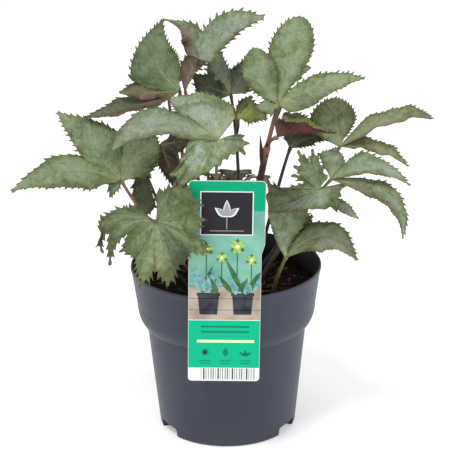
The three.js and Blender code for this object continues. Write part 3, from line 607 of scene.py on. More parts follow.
def pot_inside_look():
    """The inner wall, darker towards the soil, and stained in patches by damp soil."""
    look = Look("slate_plastic_inside", roughness=0.6, specular=0.15)
    place = look.place()
    stain = look.grain(place, 90, 4.0, 0.7)
    # Darker from 150 mm down to 130 mm, towards the soil.
    depth = look.split(place, 2).between(0.130, 0.150)
    colour = look.blend(depth, linear((22, 20, 20)), linear((44, 46, 54)))
    look.feed("Base Color", look.blend(stain.between(0.5, 0.8) * 0.5, colour, linear((22, 17, 14))))
    look.relief(stain, 0.1, 0.5)
    return look.material


def peat_look():
    """Damp dark peat, crumbly, with paler fibres."""
    look = Look("damp_peat", roughness=0.9, specular=0.06)
    place = look.place()
    crumb = look.grain(place, 340, 6.0, 0.7, 0.3)
    lump = look.cells(place, 240)
    fibre = look.grain(place, 1200, 2.0, 0.8, 2.0).between(0.62, 0.72)
    colour = look.blend(crumb, linear((5, 4, 3)), linear((30, 20, 14)))
    colour = look.blend(fibre * 0.3, colour, linear((84, 62, 44)))
    look.feed("Base Color", colour)
    look.feed("Roughness", 0.78 + crumb * 0.2)
    look.relief(crumb + lump, 1.6, 1.0)
    return look.material


def litter_look(name):
    """Bark and straw in the soil, each bit with its own tone."""
    look = Look(name, roughness=0.8, specular=0.1)
    fibre = look.grain(look.place(), 900, 3.0, 0.7, 1.2)
    look.feed("Base Color", look.scaled(look.attribute("tone", "Color"), 0.55 + fibre * 0.8))
    look.relief(fibre, 0.4, 0.8)
    return look.material


def printed(name, rgb, cloud, second, scale):
    """Ink on the glossy card, with the slight unevenness of print."""
    look = Look(name, roughness=0.36, specular=0.1)
    soft = look.grain(look.place(), scale, 3.0, 0.55)
    if second:
        colour = look.blend(soft.between(0.3, 0.7), linear(rgb), linear(second))
    else:
        colour = look.scaled(linear(rgb), 1 - cloud / 2 + soft * cloud)
    look.feed("Base Color", colour)
    look.feed("Roughness", 0.3 + soft * 0.08)
    return look.material


def card_look():
    """White plastic card stock."""
    look = Look("card_stock", roughness=0.35, specular=0.45)
    soft = look.grain(look.place(), 70, 2.0)
    look.feed("Base Color", look.scaled(linear((226, 228, 226)), 0.94 + soft * 0.08))
    look.feed("Roughness", 0.3 + soft * 0.12)
    return look.material


def floor_look():
    """A plain pale floor."""
    look = Look("pale_floor", roughness=0.9, specular=0.1)
    soft = look.grain(look.place(), 3, 2.0)
    look.feed("Base Color", look.scaled((0.8, 0.8, 0.8, 1.0), 0.995 + soft * 0.01))
    look.shader.inputs["Emission Color"].default_value = (1.0, 1.0, 1.0, 1.0)
    look.shader.inputs["Emission Strength"].default_value = FLOOR_GLOW
    return look.material


# ---- Pot --------------------------------------------------------------------------------------


def shoulder_points(inset, steps):
    """The step from the tapered body out to the wider collar, as (radius, height)."""
    points = [(BODY_TOP_RADIUS - inset, SHOULDER_LOW)]
    for i in range(1, steps + 1):
        rise = i / steps
        radius = BODY_TOP_RADIUS + (COLLAR_RADIUS - BODY_TOP_RADIUS) * math.sin(rise * math.pi / 2)
        points.append((radius - inset, lerp(SHOULDER_LOW, SHOULDER_HIGH, rise ** 1.3)))
    return points


def wall_radius(height, inset):
    """Radius of the pot's wall at a height, moved in by inset."""
    line = [(FOOT_RADIUS - inset, 0), *shoulder_points(inset, 3)]
    line += [(RIM_RADIUS - LIP_STEP - inset, POT_HEIGHT - 3.6), (RIM_RADIUS - inset, POT_HEIGHT)]
    for (r0, z0), (r1, z1) in zip(line, line[1:]):
        if z0 <= height <= z1:
            return lerp(r0, r1, (height - z0) / (z1 - z0))
    return line[-1][0]


def collar_radius(height):
    """The collar's outer radius at a height, from the shoulder to the lip."""
    rise = (height - SHOULDER_HIGH) / COLLAR_RISE
    return lerp(COLLAR_RADIUS, RIM_RADIUS - LIP_STEP, rise)


def turn_profile(bm, profile, steps):
    """Spins a line of (radius, height) points once round the pot's axis."""
    corners = [bm.verts.new((radius, 0, height)) for radius, height in profile]
    edges = [bm.edges.new(pair) for pair in zip(corners, corners[1:])]
    bmesh.ops.spin(bm, geom=corners + edges, cent=(0, 0, 0), axis=UP_AXIS, dvec=(0, 0, 0),
                   angle=2 * math.pi, steps=steps, use_merge=True, use_duplicate=False)
    bmesh.ops.remove_doubles(bm, verts=bm.verts, dist=0.001)
    bmesh.ops.recalc_face_normals(bm, faces=bm.faces)


def arc(centre, radius, start, end, steps):
    """Points on a quarter or half round in the profile, angles in degrees from outwards."""
    points = []
    for i in range(steps + 1):
        angle = math.radians(lerp(start, end, i / steps))
        points.append((centre[0] + radius * math.cos(angle), centre[1] + radius * math.sin(angle)))
    return points


def foot_cutter(turn):
    """A rounded block that takes one recess out of the foot, and its drain hole."""
    bm = bmesh.new()
    bmesh.ops.create_cube(bm, size=1)
    # The block stands 4 mm out past the foot, and as far below it as the recess is high.
    size = (RECESS_DEPTH + 4, RECESS_WIDTH, 2 * RECESS_HEIGHT)
    bmesh.ops.scale(bm, vec=size, verts=bm.verts)
    upper = [e for e in bm.edges if abs(e.verts[0].co.z - e.verts[1].co.z) < 0.01
             and max(v.co.z for v in e.verts) > 0]
    inner = [e for e in bm.edges if abs(e.verts[0].co.z - e.verts[1].co.z) > 1
             and max(v.co.x for v in e.verts) < 0]
    bmesh.ops.bevel(bm, geom=upper + inner, offset=RECESS_ROUNDING, offset_type="OFFSET",
                    segments=4, affect="EDGES", profile=0.5, material=-1)
    reach = FOOT_RADIUS - RECESS_DEPTH / 2 + 2
    bmesh.ops.translate(bm, vec=(reach, 0, 0), verts=bm.verts)
    drain = bmesh.ops.create_cone(bm, cap_ends=True, segments=24, radius1=DRAIN_RADIUS,
                                  radius2=DRAIN_RADIUS, depth=6)
    bmesh.ops.translate(bm, vec=(reach - 4.4, 0, FOOT_RING_TOP), verts=drain["verts"])
    spin = Matrix.Rotation(math.radians(turn), 4, "Z")
    bmesh.ops.transform(bm, matrix=spin, verts=bm.verts)
    return add_object("foot_cutter", bm)


def cut_away(bm, cutters):
    """A bmesh with the space of each cutter taken out of the one that is given."""
    body = add_object("cut", bm)
    for cutter in cutters:
        step = body.modifiers.new("cut", "BOOLEAN")
        step.operation = "DIFFERENCE"
        step.solver = "EXACT"
        step.use_self = True
        step.object = cutter
    bpy.context.view_layer.update()
    seen = body.evaluated_get(bpy.context.evaluated_depsgraph_get())
    left = bmesh.new()
    left.from_mesh(seen.to_mesh())
    seen.to_mesh_clear()
    for part in [body, *cutters]:
        part_mesh = part.data
        bpy.data.objects.remove(part)
        bpy.data.meshes.remove(part_mesh)
    return left


def make_pot():
    """The nursery pot: tapered body, shoulder, wider collar, rolled lip, recesses in the foot."""
    outside = arc((FOOT_RADIUS - 2, 2), 2, -90, -3, 5)
    outside += [(lerp(FOOT_RADIUS, BODY_TOP_RADIUS, (z - 2) / (SHOULDER_LOW - 2)), z)
                for z in range(8, 92, 6)]
    outside += shoulder_points(0, 9)[:-1]
    outside += [(COLLAR_RADIUS + 0.05, 113.4), (COLLAR_RADIUS + 0.35, 114.2)]
    outside += [(collar_radius(z), z) for z in (116, 120, 126, 132, 138, 143, 147)]
    outside += [(RIM_RADIUS - 0.55, 148.2), (RIM_RADIUS - 0.1, 148.9), (RIM_RADIUS, 149.6)]
    outside += arc((RIM_RADIUS - 0.9, 151.1), 0.9, 0, 180, 10)
    inside = [(RIM_RADIUS - 2.1, 148.4)]
    inside += [(collar_radius(z) - POT_WALL, z) for z in (144, 138, 130, 120)]
    inside += reversed(shoulder_points(POT_WALL, 6))
    inside += [(wall_radius(z, POT_WALL), z) for z in (70, 40, FOOT_RING_TOP)]
    inside += [(FOOT_RADIUS - 9.5, FOOT_RING_TOP), (FOOT_RADIUS - 13, FLOOR)]
    profile = [(0, 0), (30, 0), (FOOT_RADIUS - 6, 0), *outside, *inside, (20, FLOOR), (0, FLOOR)]
    whole = bmesh.new()
    turn_profile(whole, profile, PROFILE_STEPS)
    bm = cut_away(whole, [foot_cutter(turn) for turn in RECESS_TURNS])
    bmesh.ops.remove_doubles(bm, verts=bm.verts, dist=0.002)
    for face in bm.faces:
        middle = face.calc_center_median()
        out = face.normal.x * middle.x + face.normal.y * middle.y
        inner = math.hypot(middle.x, middle.y) < wall_radius(middle.z, POT_WALL / 2)
        seen = middle.z > 2.5 and (out < 0 or middle.z < 12)
        face.material_index = 1 if inner and seen else 0
    looks = [pot_look(), pot_inside_look()]
    return finish_piece("pot_shell", bm, looks, ["pot"], crease=32)


# ---- Soil -------------------------------------------------------------------------------------


def soil_height(x, y):
    radius = math.hypot(x, y)
    mound = SOIL_MOUND * math.cos(math.pi / 2 * min(radius / COLLAR_RADIUS, 1))
    return SOIL_TOP + mound + SOIL_RIPPLE * math.sin(x / 11 + 1) * math.cos(y / 9)


def rough_soil(x, y):
    """The soil's height with its lumps and crumbs."""
    lump = noise.noise(Vector((x * 0.09, y * 0.09, 3.0))) * 1.3
    crumb = noise.noise(Vector((x * 0.33, y * 0.33, 9.0))) * 0.9
    grit = noise.noise(Vector((x * 1.1, y * 1.1, 5.0))) * 0.45
    return soil_height(x, y) + lump + crumb + grit


def make_soil():
    """Moist peat that fills the pot, with a crumbly top."""
    inset = POT_WALL + SOIL_GAP
    bottom = [(0, FLOOR + SOIL_GAP), (FOOT_RADIUS - 13.3, FLOOR + SOIL_GAP),
              (FOOT_RADIUS - 9.8, 11.0)]
    sides = [(wall_radius(z, inset), z) for z in (11.0, 50, 96, 103, 109, 114, 123)]
    top = [(wall_radius(SOIL_TOP, inset) * (1 - i / 60), SOIL_TOP) for i in range(61)]
    bm = bmesh.new()
    turn_profile(bm, [*bottom, *sides, *top], 150)
    for corner in bm.verts:
        if corner.co.z > SOIL_TOP - 0.01:
            corner.co.z = rough_soil(corner.co.x, corner.co.y)
    return finish_piece("peat", bm, [peat_look()], ["soil"])


def scatter(name, build, tones, look, count, seed, clear=3):
    """Strews bits over the soil, clear of the wall, each turned, sized and toned by its draws."""
    pick = random.Random(seed)
    bm = bmesh.new()
    tone = bm.verts.layers.float_color.new("tone")
    for _ in range(count):
        radius = (wall_radius(SOIL_TOP, POT_WALL) - clear) * math.sqrt(pick.random())
        angle = pick.uniform(0, 2 * math.pi)
        x, y = radius * math.cos(angle), radius * math.sin(angle)
        corners, rise = build(bm, pick)
        turn = Matrix.Rotation(pick.uniform(0, 2 * math.pi), 4, "Z")
        tip = Matrix.Rotation(pick.uniform(-0.35, 0.35), 4, "X")
        place = Matrix.Translation((x, y, rough_soil(x, y) + rise))
        bmesh.ops.transform(bm, matrix=place @ turn @ tip, verts=corners)
        own = linear(pick.choice(tones))
        for corner in corners:
            corner[tone] = own
    return finish_piece(name, bm, [look], crease=50)


def crumb(bm, pick):
    """A crumb's corners, and how far above the soil its middle lies."""
    made = bmesh.ops.create_icosphere(bm, subdivisions=1, radius=1)
    size = pick.uniform(0.6, 2.0)
    shape = (size * pick.uniform(0.8, 1.4), size, size * pick.uniform(0.5, 0.9))
    bmesh.ops.scale(bm, vec=shape, verts=made["verts"])
    for corner in made["verts"]:
        corner.co *= pick.uniform(0.75, 1.15)
    return made["verts"], 0.1


def bark_chip(bm, pick):
    made = bmesh.ops.create_cone(bm, cap_ends=True, segments=7, radius1=0.5, radius2=0.42,
                                 depth=1)
    shape = (pick.uniform(5, 12), pick.uniform(2.5, 5.5), pick.uniform(0.8, 1.8))
    bmesh.ops.scale(bm, vec=shape, verts=made["verts"])
    for corner in made["verts"]:
        corner.co += Vector([pick.uniform(-limit, limit) for limit in (0.8, 0.6, 0.3)])
    return made["verts"], 0.5


def straw(bm, pick):
    length = pick.uniform(10, 26)
    bow = pick.uniform(-2.5, 2.5)
    corners = mapped_grid(bm, 10, 5, lambda i, j, c: Vector((
        (i / 10 - 0.5) * length,
        0.32 * math.cos(2 * math.pi * j / 5) + bow * math.sin(math.pi * i / 10),
        0.32 * math.sin(2 * math.pi * j / 5) + 0.5)))
    bmesh.ops.remove_doubles(bm, verts=corners, dist=0.001)
    return [corner for corner in corners if corner.is_valid], 0.3


# ---- Card -------------------------------------------------------------------------------------


def on_card(across, up, proud):
    """A point of the card: across from its middle, up from its lower edge, proud of its face."""
    x = across * math.cos(CARD_LEAN) + up * math.sin(CARD_LEAN) + CARD_SHIFT
    z = -across * math.sin(CARD_LEAN) + up * math.cos(CARD_LEAN) + CARD_BOTTOM
    return Vector((x, -(CARD_BACK + CARD_THICK + proud), z))


def card_outline(margin=0.0):
    """The card's outline: rounded corners, and a right edge that steps in below the emblem."""
    half = CARD_WIDTH / 2 - margin
    low, high = margin, CARD_HEIGHT - margin
    corner = CARD_CORNER - margin
    return [*arc((half - CARD_STEP - corner, low + corner), corner, -90, 0, 6),
            (half - CARD_STEP, CARD_HEIGHT - STEP_END), (half, CARD_HEIGHT - STEP_START),
            *arc((half - corner, high - corner), corner, 0, 90, 6),
            *arc((-half + corner, high - corner), corner, 90, 180, 6),
            *arc((-half + corner, low + corner), corner, 180, 270, 6)]


def thicken(bm, faces, depth):
    """Draws flat faces out into a plate, depth towards the back."""
    pushed = bmesh.ops.extrude_face_region(bm, geom=faces)
    moved = [part for part in pushed["geom"] if isinstance(part, bmesh.types.BMVert)]
    bmesh.ops.translate(bm, vec=(0, depth, 0), verts=moved)
    bmesh.ops.recalc_face_normals(bm, faces=bm.faces)


def make_card_plate():
    """The card with its tongue, which hooks over the rim and stands in the soil."""
    bm = bmesh.new()
    plate = bm.faces.new([bm.verts.new(on_card(x, y, 0)) for x, y in card_outline()])
    thicken(bm, [plate], CARD_THICK)
    rims = [e for e in bm.edges if e.calc_face_angle(0) > 1.2
            and abs(e.verts[0].co.y - e.verts[1].co.y) < 0.01]
    bmesh.ops.bevel(bm, geom=rims, offset=0.18, segments=2, affect="EDGES", profile=0.5,
                    material=-1)
    top = CARD_BOTTOM + CARD_HEIGHT
    line = [(-85.9, top - 0.2), (-85.3, top - 1.4), (-83.9, top - 3), (-82.2, 220), (-80.5, 186),
            (-78.9, POT_HEIGHT), (-75.9, SOIL_TOP), (-74.5, 112)]
    count = len(line) - 1

    def tongue(i, j, corner):
        depth, z = line[i]
        half = lerp(TONGUE_HALF, TONGUE_TIP_HALF, max(i - count + 1, 0))
        return Vector((TONGUE_MIDDLE + half * (1 - 2 * j / 4), depth, z))

    strip = mapped_grid(bm, count, 4, tongue)
    faces = dict.fromkeys(face for corner in strip for face in corner.link_faces)
    thicken(bm, list(faces), TONGUE_THICK)
    return finish_piece("card_plate", bm, [card_look()], ["card_label"], crease=35)


def card_patch(bm, shape, proud, ink):
    """A flat printed shape from its outline, thin as ink."""
    face = bm.faces.new([bm.verts.new(on_card(x, y, proud)) for x, y in shape])
    face.normal_update()
    if face.normal.y > 0:
        face.normal_flip()
    face.material_index = ink
    return face


def bar(left, right, low, high):
    return [(left, low), (right, low), (right, high), (left, high)]


def band(low, high):
    """The part of the printed field between two heights, with the card's own corners."""
    outline = card_outline(PRINT_MARGIN)
    shape = []
    for (x0, y0), (x1, y1) in zip(outline, outline[1:] + outline[:1]):
        if low <= y0 <= high:
            shape.append((x0, y0))
        for level in (low, high) if y1 > y0 else (high, low):
            if (y0 - level) * (y1 - level) < 0:
                shape.append((lerp(x0, x1, (level - y0) / (y1 - y0)), level))
    return shape


def leaf_shape(x, y, length, width, turn, steps=9):
    """A pointed oval from its stalk end, turned by degrees from upright."""
    angle = math.radians(90 + turn)
    rise, side = (math.cos(angle), math.sin(angle)), (-math.sin(angle), math.cos(angle))
    edge = []
    for i in range(2 * steps):
        share = i / steps if i <= steps else 2 - i / steps
        out = width * math.sin(math.pi * share ** 0.8)
        out *= 1 if i <= steps else -1
        edge.append((x + rise[0] * length * share + side[0] * out,
                     y + rise[1] * length * share + side[1] * out))
    return edge


def disc(x, y, radius, steps=20):
    turns = [2 * math.pi * i / steps for i in range(steps)]
    return [(x + radius * math.cos(turn), y + radius * math.sin(turn)) for turn in turns]


# Each ink's name, colour, unevenness, second colour where it has one, and grains to the metre.
INKS = [
    ("ink_green", (2, 156, 113), 0.05, None, 40),
    ("ink_bright_green", (6, 178, 133), 0.05, None, 40),
    ("ink_white", (226, 229, 227), 0.03, None, 40),
    ("ink_charcoal", (42, 40, 46), 0.1, None, 60),
    ("ink_sky", (96, 158, 142), 0.1, (134, 186, 166), 34),
    ("ink_wood", (150, 132, 120), 0.1, (182, 168, 154), 60),
    ("ink_plank_gap", (112, 96, 86), 0.1, None, 60),
    ("ink_blue_leaf", (86, 140, 148), 0.1, (132, 178, 182), 240),
    ("ink_pale_leaf", (150, 192, 196), 0.1, (112, 162, 168), 240),
    ("ink_lime", (132, 172, 74), 0.1, (176, 204, 112), 300),
    ("ink_deep_green", (48, 92, 60), 0.1, (76, 122, 70), 260),
    ("ink_cream", (222, 232, 176), 0.04, None, 60),
    ("ink_dark_teal", (18, 120, 98), 0.05, None, 60),
    ("ink_black", (44, 44, 52), 0.05, None, 60),
    ("ink_planter", (40, 44, 52), 0.1, (66, 70, 78), 120),
    ("ink_grey", (150, 154, 160), 0.05, None, 60),
]
INK = {entry[0][4:]: i for i, entry in enumerate(INKS)}


def print_bands(patch):
    """Plain bands from the top down, with a white rule and the gaps between planks."""
    levels = (CARD_HEIGHT - PRINT_MARGIN, *PRINT_BANDS, PRINT_MARGIN)
    inks = ("green", "sky", "wood", "bright_green", "white")
    for high, low, ink in zip(levels, levels[1:], inks):
        patch(band(low, high), 1, ink)
    for low, high, ink in ((66, 66.5, "plank_gap"), (76.5, 77, "plank_gap"),
                           (56.6, 57.2, "white"), (87.6, 88.3, "plank_gap")):
        patch(bar(-PRINT_HALF, PRINT_RIGHT, low, high), 2, ink)


def print_garden(patch):
    """Two dark planters on the planks, with tall grasses and round flower heads above them."""
    pick = random.Random(61)
    planters = (-15, 14)
    for x in planters:
        patch([(x - 7.5, 62), (x + 7.5, 62), (x + 9, 80), (x - 9, 80)], 2, "planter")
        patch(bar(x - 9.8, x + 9.8, 79, 82), 3, "planter")
    for i in range(30):
        x = planters[i % 2] + pick.uniform(-9, 9)
        tall = pick.uniform(12, 30) * (0.75 + 0.4 * math.sin(i * 0.55 + 0.4) ** 2)
        ink = pick.choice(("blue_leaf", "pale_leaf", "blue_leaf", "deep_green"))
        lean = pick.uniform(-46, 46)
        shape = leaf_shape(clamp(x, -26, 26), 80 + pick.uniform(0, 5), tall, 2.3, lean)
        patch([(clamp(px, -PRINT_HALF, PRINT_RIGHT), py) for px, py in shape], 4 + 0.4 * i, ink)
    for x, y, size in ((-17, 122, 6.5), (-4, 114, 5.2), (9, 124, 7.2), (21, 112, 5.4)):
        patch(bar(x - 0.4, x + 0.4, 92, y), 16.5, "deep_green")
        for k in range(9):
            turn = k * 40 + pick.uniform(-8, 8)
            ink = "lime" if k % 3 else "deep_green"
            patch(leaf_shape(x, y, size, size * 0.28, turn), 17 + k % 3, ink)
        patch(disc(x, y, size * 0.26), 20, "cream")


def print_emblem(patch):
    """A plain dark square with a pale frame, a three-leaved sprig and a rule below it."""
    left, right, low, high = -22.5, 22, 134, 173
    rim = 0.9
    patch(bar(left, right, low, high), 21, "white")
    patch(bar(left + rim, right - rim, low + rim, high - rim), 22, "charcoal")
    patch(bar(-0.6, 0.1, 139.5, 152.5), 23, "grey")
    for turn, length in ((0, 15), (52, 13), (-52, 13)):
        patch(leaf_shape(-0.25, 150.5, length, 3.0, turn), 24 + turn / 100, "white")
        patch(leaf_shape(-0.25, 151.3, length - 2.2, 2.3, turn), 25.5 + turn / 100, "grey")
    patch(bar(-14.5, 14, 137.7, 138.3), 23, "grey")


def print_words(patch):
    """Soft bars where lines of words would be, a dotted rule, and a cream bar."""
    left, right = -21, 20
    patch(bar(left, right, 50.0, 51.6), 2, "dark_teal")
    patch(bar(left, right, 45.2, 46.8), 2, "dark_teal")
    for i in range(22):
        patch(disc(left + (right - left) * i / 21, 41.8, 0.28, 8), 2, "dark_teal")
    patch(bar(-24.5, 24.5, 36.0, 38.6), 2, "cream")


def print_signs(patch):
    """Three plain signs, a sun, a drop and a sprig, each with two short bars below."""
    sun, drop, sprig = -17.5, 0, 17
    for k in range(8):
        patch(leaf_shape(sun, 27, 4.2, 0.75, 45 * k, 4), 2, "dark_teal")
    patch(disc(sun, 27, 1.7), 3, "black")
    patch(leaf_shape(drop, 23.2, 8.2, 2.4, 0), 2, "dark_teal")
    for turn in (-55, 0, 55):
        patch(leaf_shape(sprig, 23.6, 6.6, 1.3, turn), 2, "dark_teal")
    for x in (sun, drop, sprig):
        patch(bar(x - 5, x + 5, 18.6, 19.5), 2, "dark_teal")
        patch(bar(x - 4, x + 4, 16.2, 17.1), 2, "dark_teal")


def print_stripes(patch):
    """A row of plain stripes along the lower edge."""
    widths = (0.5, 1.15, 0.75)
    for i in range(23):
        x = -21 + 2.05 * i
        patch(bar(x, x + widths[i % 3], 1.6, 12.0), 2, "black" if i % 2 else "grey")


def make_card_print():
    """The card's generic print, in layers of ink."""
    bm = bmesh.new()

    def patch(shape, layer, ink):
        card_patch(bm, shape, INK_BASE + INK_STEP * layer, INK[ink])

    for part in (print_bands, print_garden, print_emblem, print_words, print_signs, print_stripes):
        part(patch)
    return finish_piece("card_print", bm, [printed(*entry) for entry in INKS])


# ---- Leaf blades ------------------------------------------------------------------------------

# Along one tooth of the margin: how far along it, and how much of the spine stands there.
TOOTH = ((0.0, 0.0), (0.13, 0.3), (0.24, 0.12), (0.44, 0.4), (0.6, 0.7), (0.72, 1.0), (0.86, 0.3))
# Where the rows of corners lie, as shares of the way from the midrib to the margin.
ROWS = (0.0, 0.12, 0.3, 0.5, 0.68, 0.83, 0.93, 1.0)
TOOTH_OUTWARD = 0.9
TOOTH_FORWARD = 0.55
# How much further along its margin, in teeth, each tooth on the left stands than on the right.
TOOTH_SHIFT = 0.4


def seed_of(leaflet):
    """A number of its own for each leaflet."""
    return abs(leaflet["tip"][0] * 7 + leaflet["tip"][2] * 3)


def fullness(t, peak=0.5, blunt=1.1):
    """Half width of a leaflet along its midrib, as a share of the widest."""
    swell = max(0.0, math.sin(math.pi * t ** (math.log(0.5) / math.log(peak))))
    return swell ** (0.85 if t < peak else blunt)


def half_width(leaflet, length, half, t):
    """Width of the left (0) or right (1) half of a leaflet at t, without its teeth."""
    share = fullness(t, leaflet["peak"][half], leaflet["blunt"])
    widening = BLADE_AT_HUB + leaflet["taper"] * t * length
    return max(min(leaflet["wide"][half] * share, widening), lerp(*BLADE_LEAST, t))


def widening_between(leaflet, length, half, a, b):
    return half_width(leaflet, length, half, b) - half_width(leaflet, length, half, a)


def margin_walk(leaflet, length):
    """Pairs of the share of the margin walked and t, and one margin's length."""
    steps = 160
    walk = [(0.0, 0.0)]
    for i in range(steps):
        a, b = i / steps, (i + 1) / steps
        for half in (0, 1):
            step = math.hypot(widening_between(leaflet, length, half, a, b), length / steps)
            walk.append((walk[-1][0] + step, lerp(a, b, 0.5 * (half + 1))))
    whole = walk[-1][0]
    return [(walked / whole, t) for walked, t in walk], whole / 2


def t_at(walk, share):
    for (a, t_a), (b, t_b) in zip(walk, walk[1:]):
        if share <= b:
            return lerp(t_a, t_b, (share - a) / max(b - a, 1e-9))
    return 1.0


def midrib_frame(hub, leaflet, t):
    """The midrib's place at t, and the ways along it, out of the upper side, and to its right."""
    tip = Vector(leaflet["tip"])
    control = control_through(hub, leaflet["via"], tip)
    middle = on_curve(hub, control, tip, t)
    along = ((control - hub) * (1 - t) + (tip - control) * t).normalized()
    start, end = leaflet["turn"]
    face, end_face = Vector(leaflet["face"]), Vector(leaflet["end_face"])
    share = eased((t - start) / (end - start))
    up = face.normalized().lerp(end_face.normalized(), share).normalized()
    up = (up - along * up.dot(along)).normalized()
    return middle, along, up, along.cross(up)


def blade_point(leaflet, length, frames, t, side, v, spine):
    """A point of a leaflet, and how far it lies from the midrib.

    t is its share of the way along the midrib, v its share of the way to the margin, and spine
    how far a tooth moves it out.
    """
    middle, along, up, right = frames
    half = 0 if side < 0 else 1
    width = half_width(leaflet, length, half, t)
    fold = math.radians(leaflet["fold"])
    slope = fold + BLADE_CURL * v * 0.5
    phase = BLADE_WAVES * t + 0.31 * seed_of(leaflet) + 0.4 * side
    swell = math.sin(2 * math.pi * phase) + 0.5 * math.sin(2 * math.pi * (2.3 * phase + 0.2))
    lift = BLADE_WAVE * swell * v * v * fullness(t)
    point = middle + right * (side * v * width * math.cos(slope))
    point += up * (v * width * math.sin(slope) + lift)
    if spine > 0:
        low, high = max(t - 0.01, 0.0), min(t + 0.01, 1.0)
        rise = widening_between(leaflet, length, half, low, high)
        way = Vector(((high - low) * length, rise)).normalized()
        angle = fold + BLADE_CURL
        outward = right * (side * math.cos(angle)) + up * math.sin(angle)
        point += along * (spine * (TOOTH_FORWARD * way.x - TOOTH_OUTWARD * way.y))
        point += outward * (spine * (TOOTH_OUTWARD * way.x + TOOTH_FORWARD * way.y))
    return point, v * width


def add_leaflet(bm, layers, leaf, leaflet):
    """One leaflet as a sheet whose margin has a spine-tipped tooth every few millimetres."""
    hub = Vector(leaf["hub"])
    length = (Vector(leaflet["tip"]) - hub).length
    walk, margin = margin_walk(leaflet, length)
    bare = next(share for share, t in walk if t >= BLADE_BARE)
    teeth = max(2 * leaflet["teeth"], 4)
    spacing = (1 - bare) * margin / teeth
    seed = seed_of(leaflet)
    # Each station is a place along the midrib, its tooth, and how much of the spine stands there.
    stations = [(t, -1, 0.0) for t in (0.0, 0.03, 0.06, 0.09, 0.12, 0.145)]
    for tooth in range(teeth):
        for share, rise in TOOTH:
            walked = bare + (1 - bare) * (tooth + share) / teeth
            stations.append((t_at(walk, walked), tooth, rise))
    stations.append((1.0, -1, 0.0))
    half_rows = len(ROWS) - 1
    frames = {}
    under = linear(leaf["tones"][1])
    tone = linear(leaflet.get("tone", leaf["tones"][0]))
    own = 0.93 + 0.14 * draw(seed + 3)

    def place(i, j, corner):
        row = j - half_rows
        half, side = (0, -1) if row > 0 else (1, 1)
        v = ROWS[abs(row)]
        t, tooth, rise = stations[i]
        if side < 0 and 0 < t < 0.9:
            t += TOOTH_SHIFT * v * v * (stations[i + 1][0] - t) * len(TOOTH)
        spine = 0.0
        if v == 1.0 and rise > 0:
            drawn = 0.5 + draw(seed + 17 * tooth + 5 * side)
            spine = rise * min(leaflet["spine"] * drawn, 0.95 * spacing)
            spine *= 0.75 + 0.25 * fullness(t)
            spine *= leaflet["margins"][half]
        if t not in frames:
            frames[t] = midrib_frame(hub, leaflet, t)
        point, across = blade_point(leaflet, length, frames[t], t, side, v, spine)
        corner[layers["lay"]] = Vector((t * length / 10, side * across / 10, seed))
        corner[layers["seat"]] = Vector((t, v, draw(seed)))
        turned = leaflet["turned"][half] * eased((v - 0.1) / 0.35)
        upper = [lerp(a, b, turned) for a, b in zip(tone, under)]
        corner[layers["tone"]] = stored(upper, own)
        corner[layers["under"]] = stored(under, own)
        return point

    mapped_grid(bm, len(stations) - 1, 2 * half_rows, place)


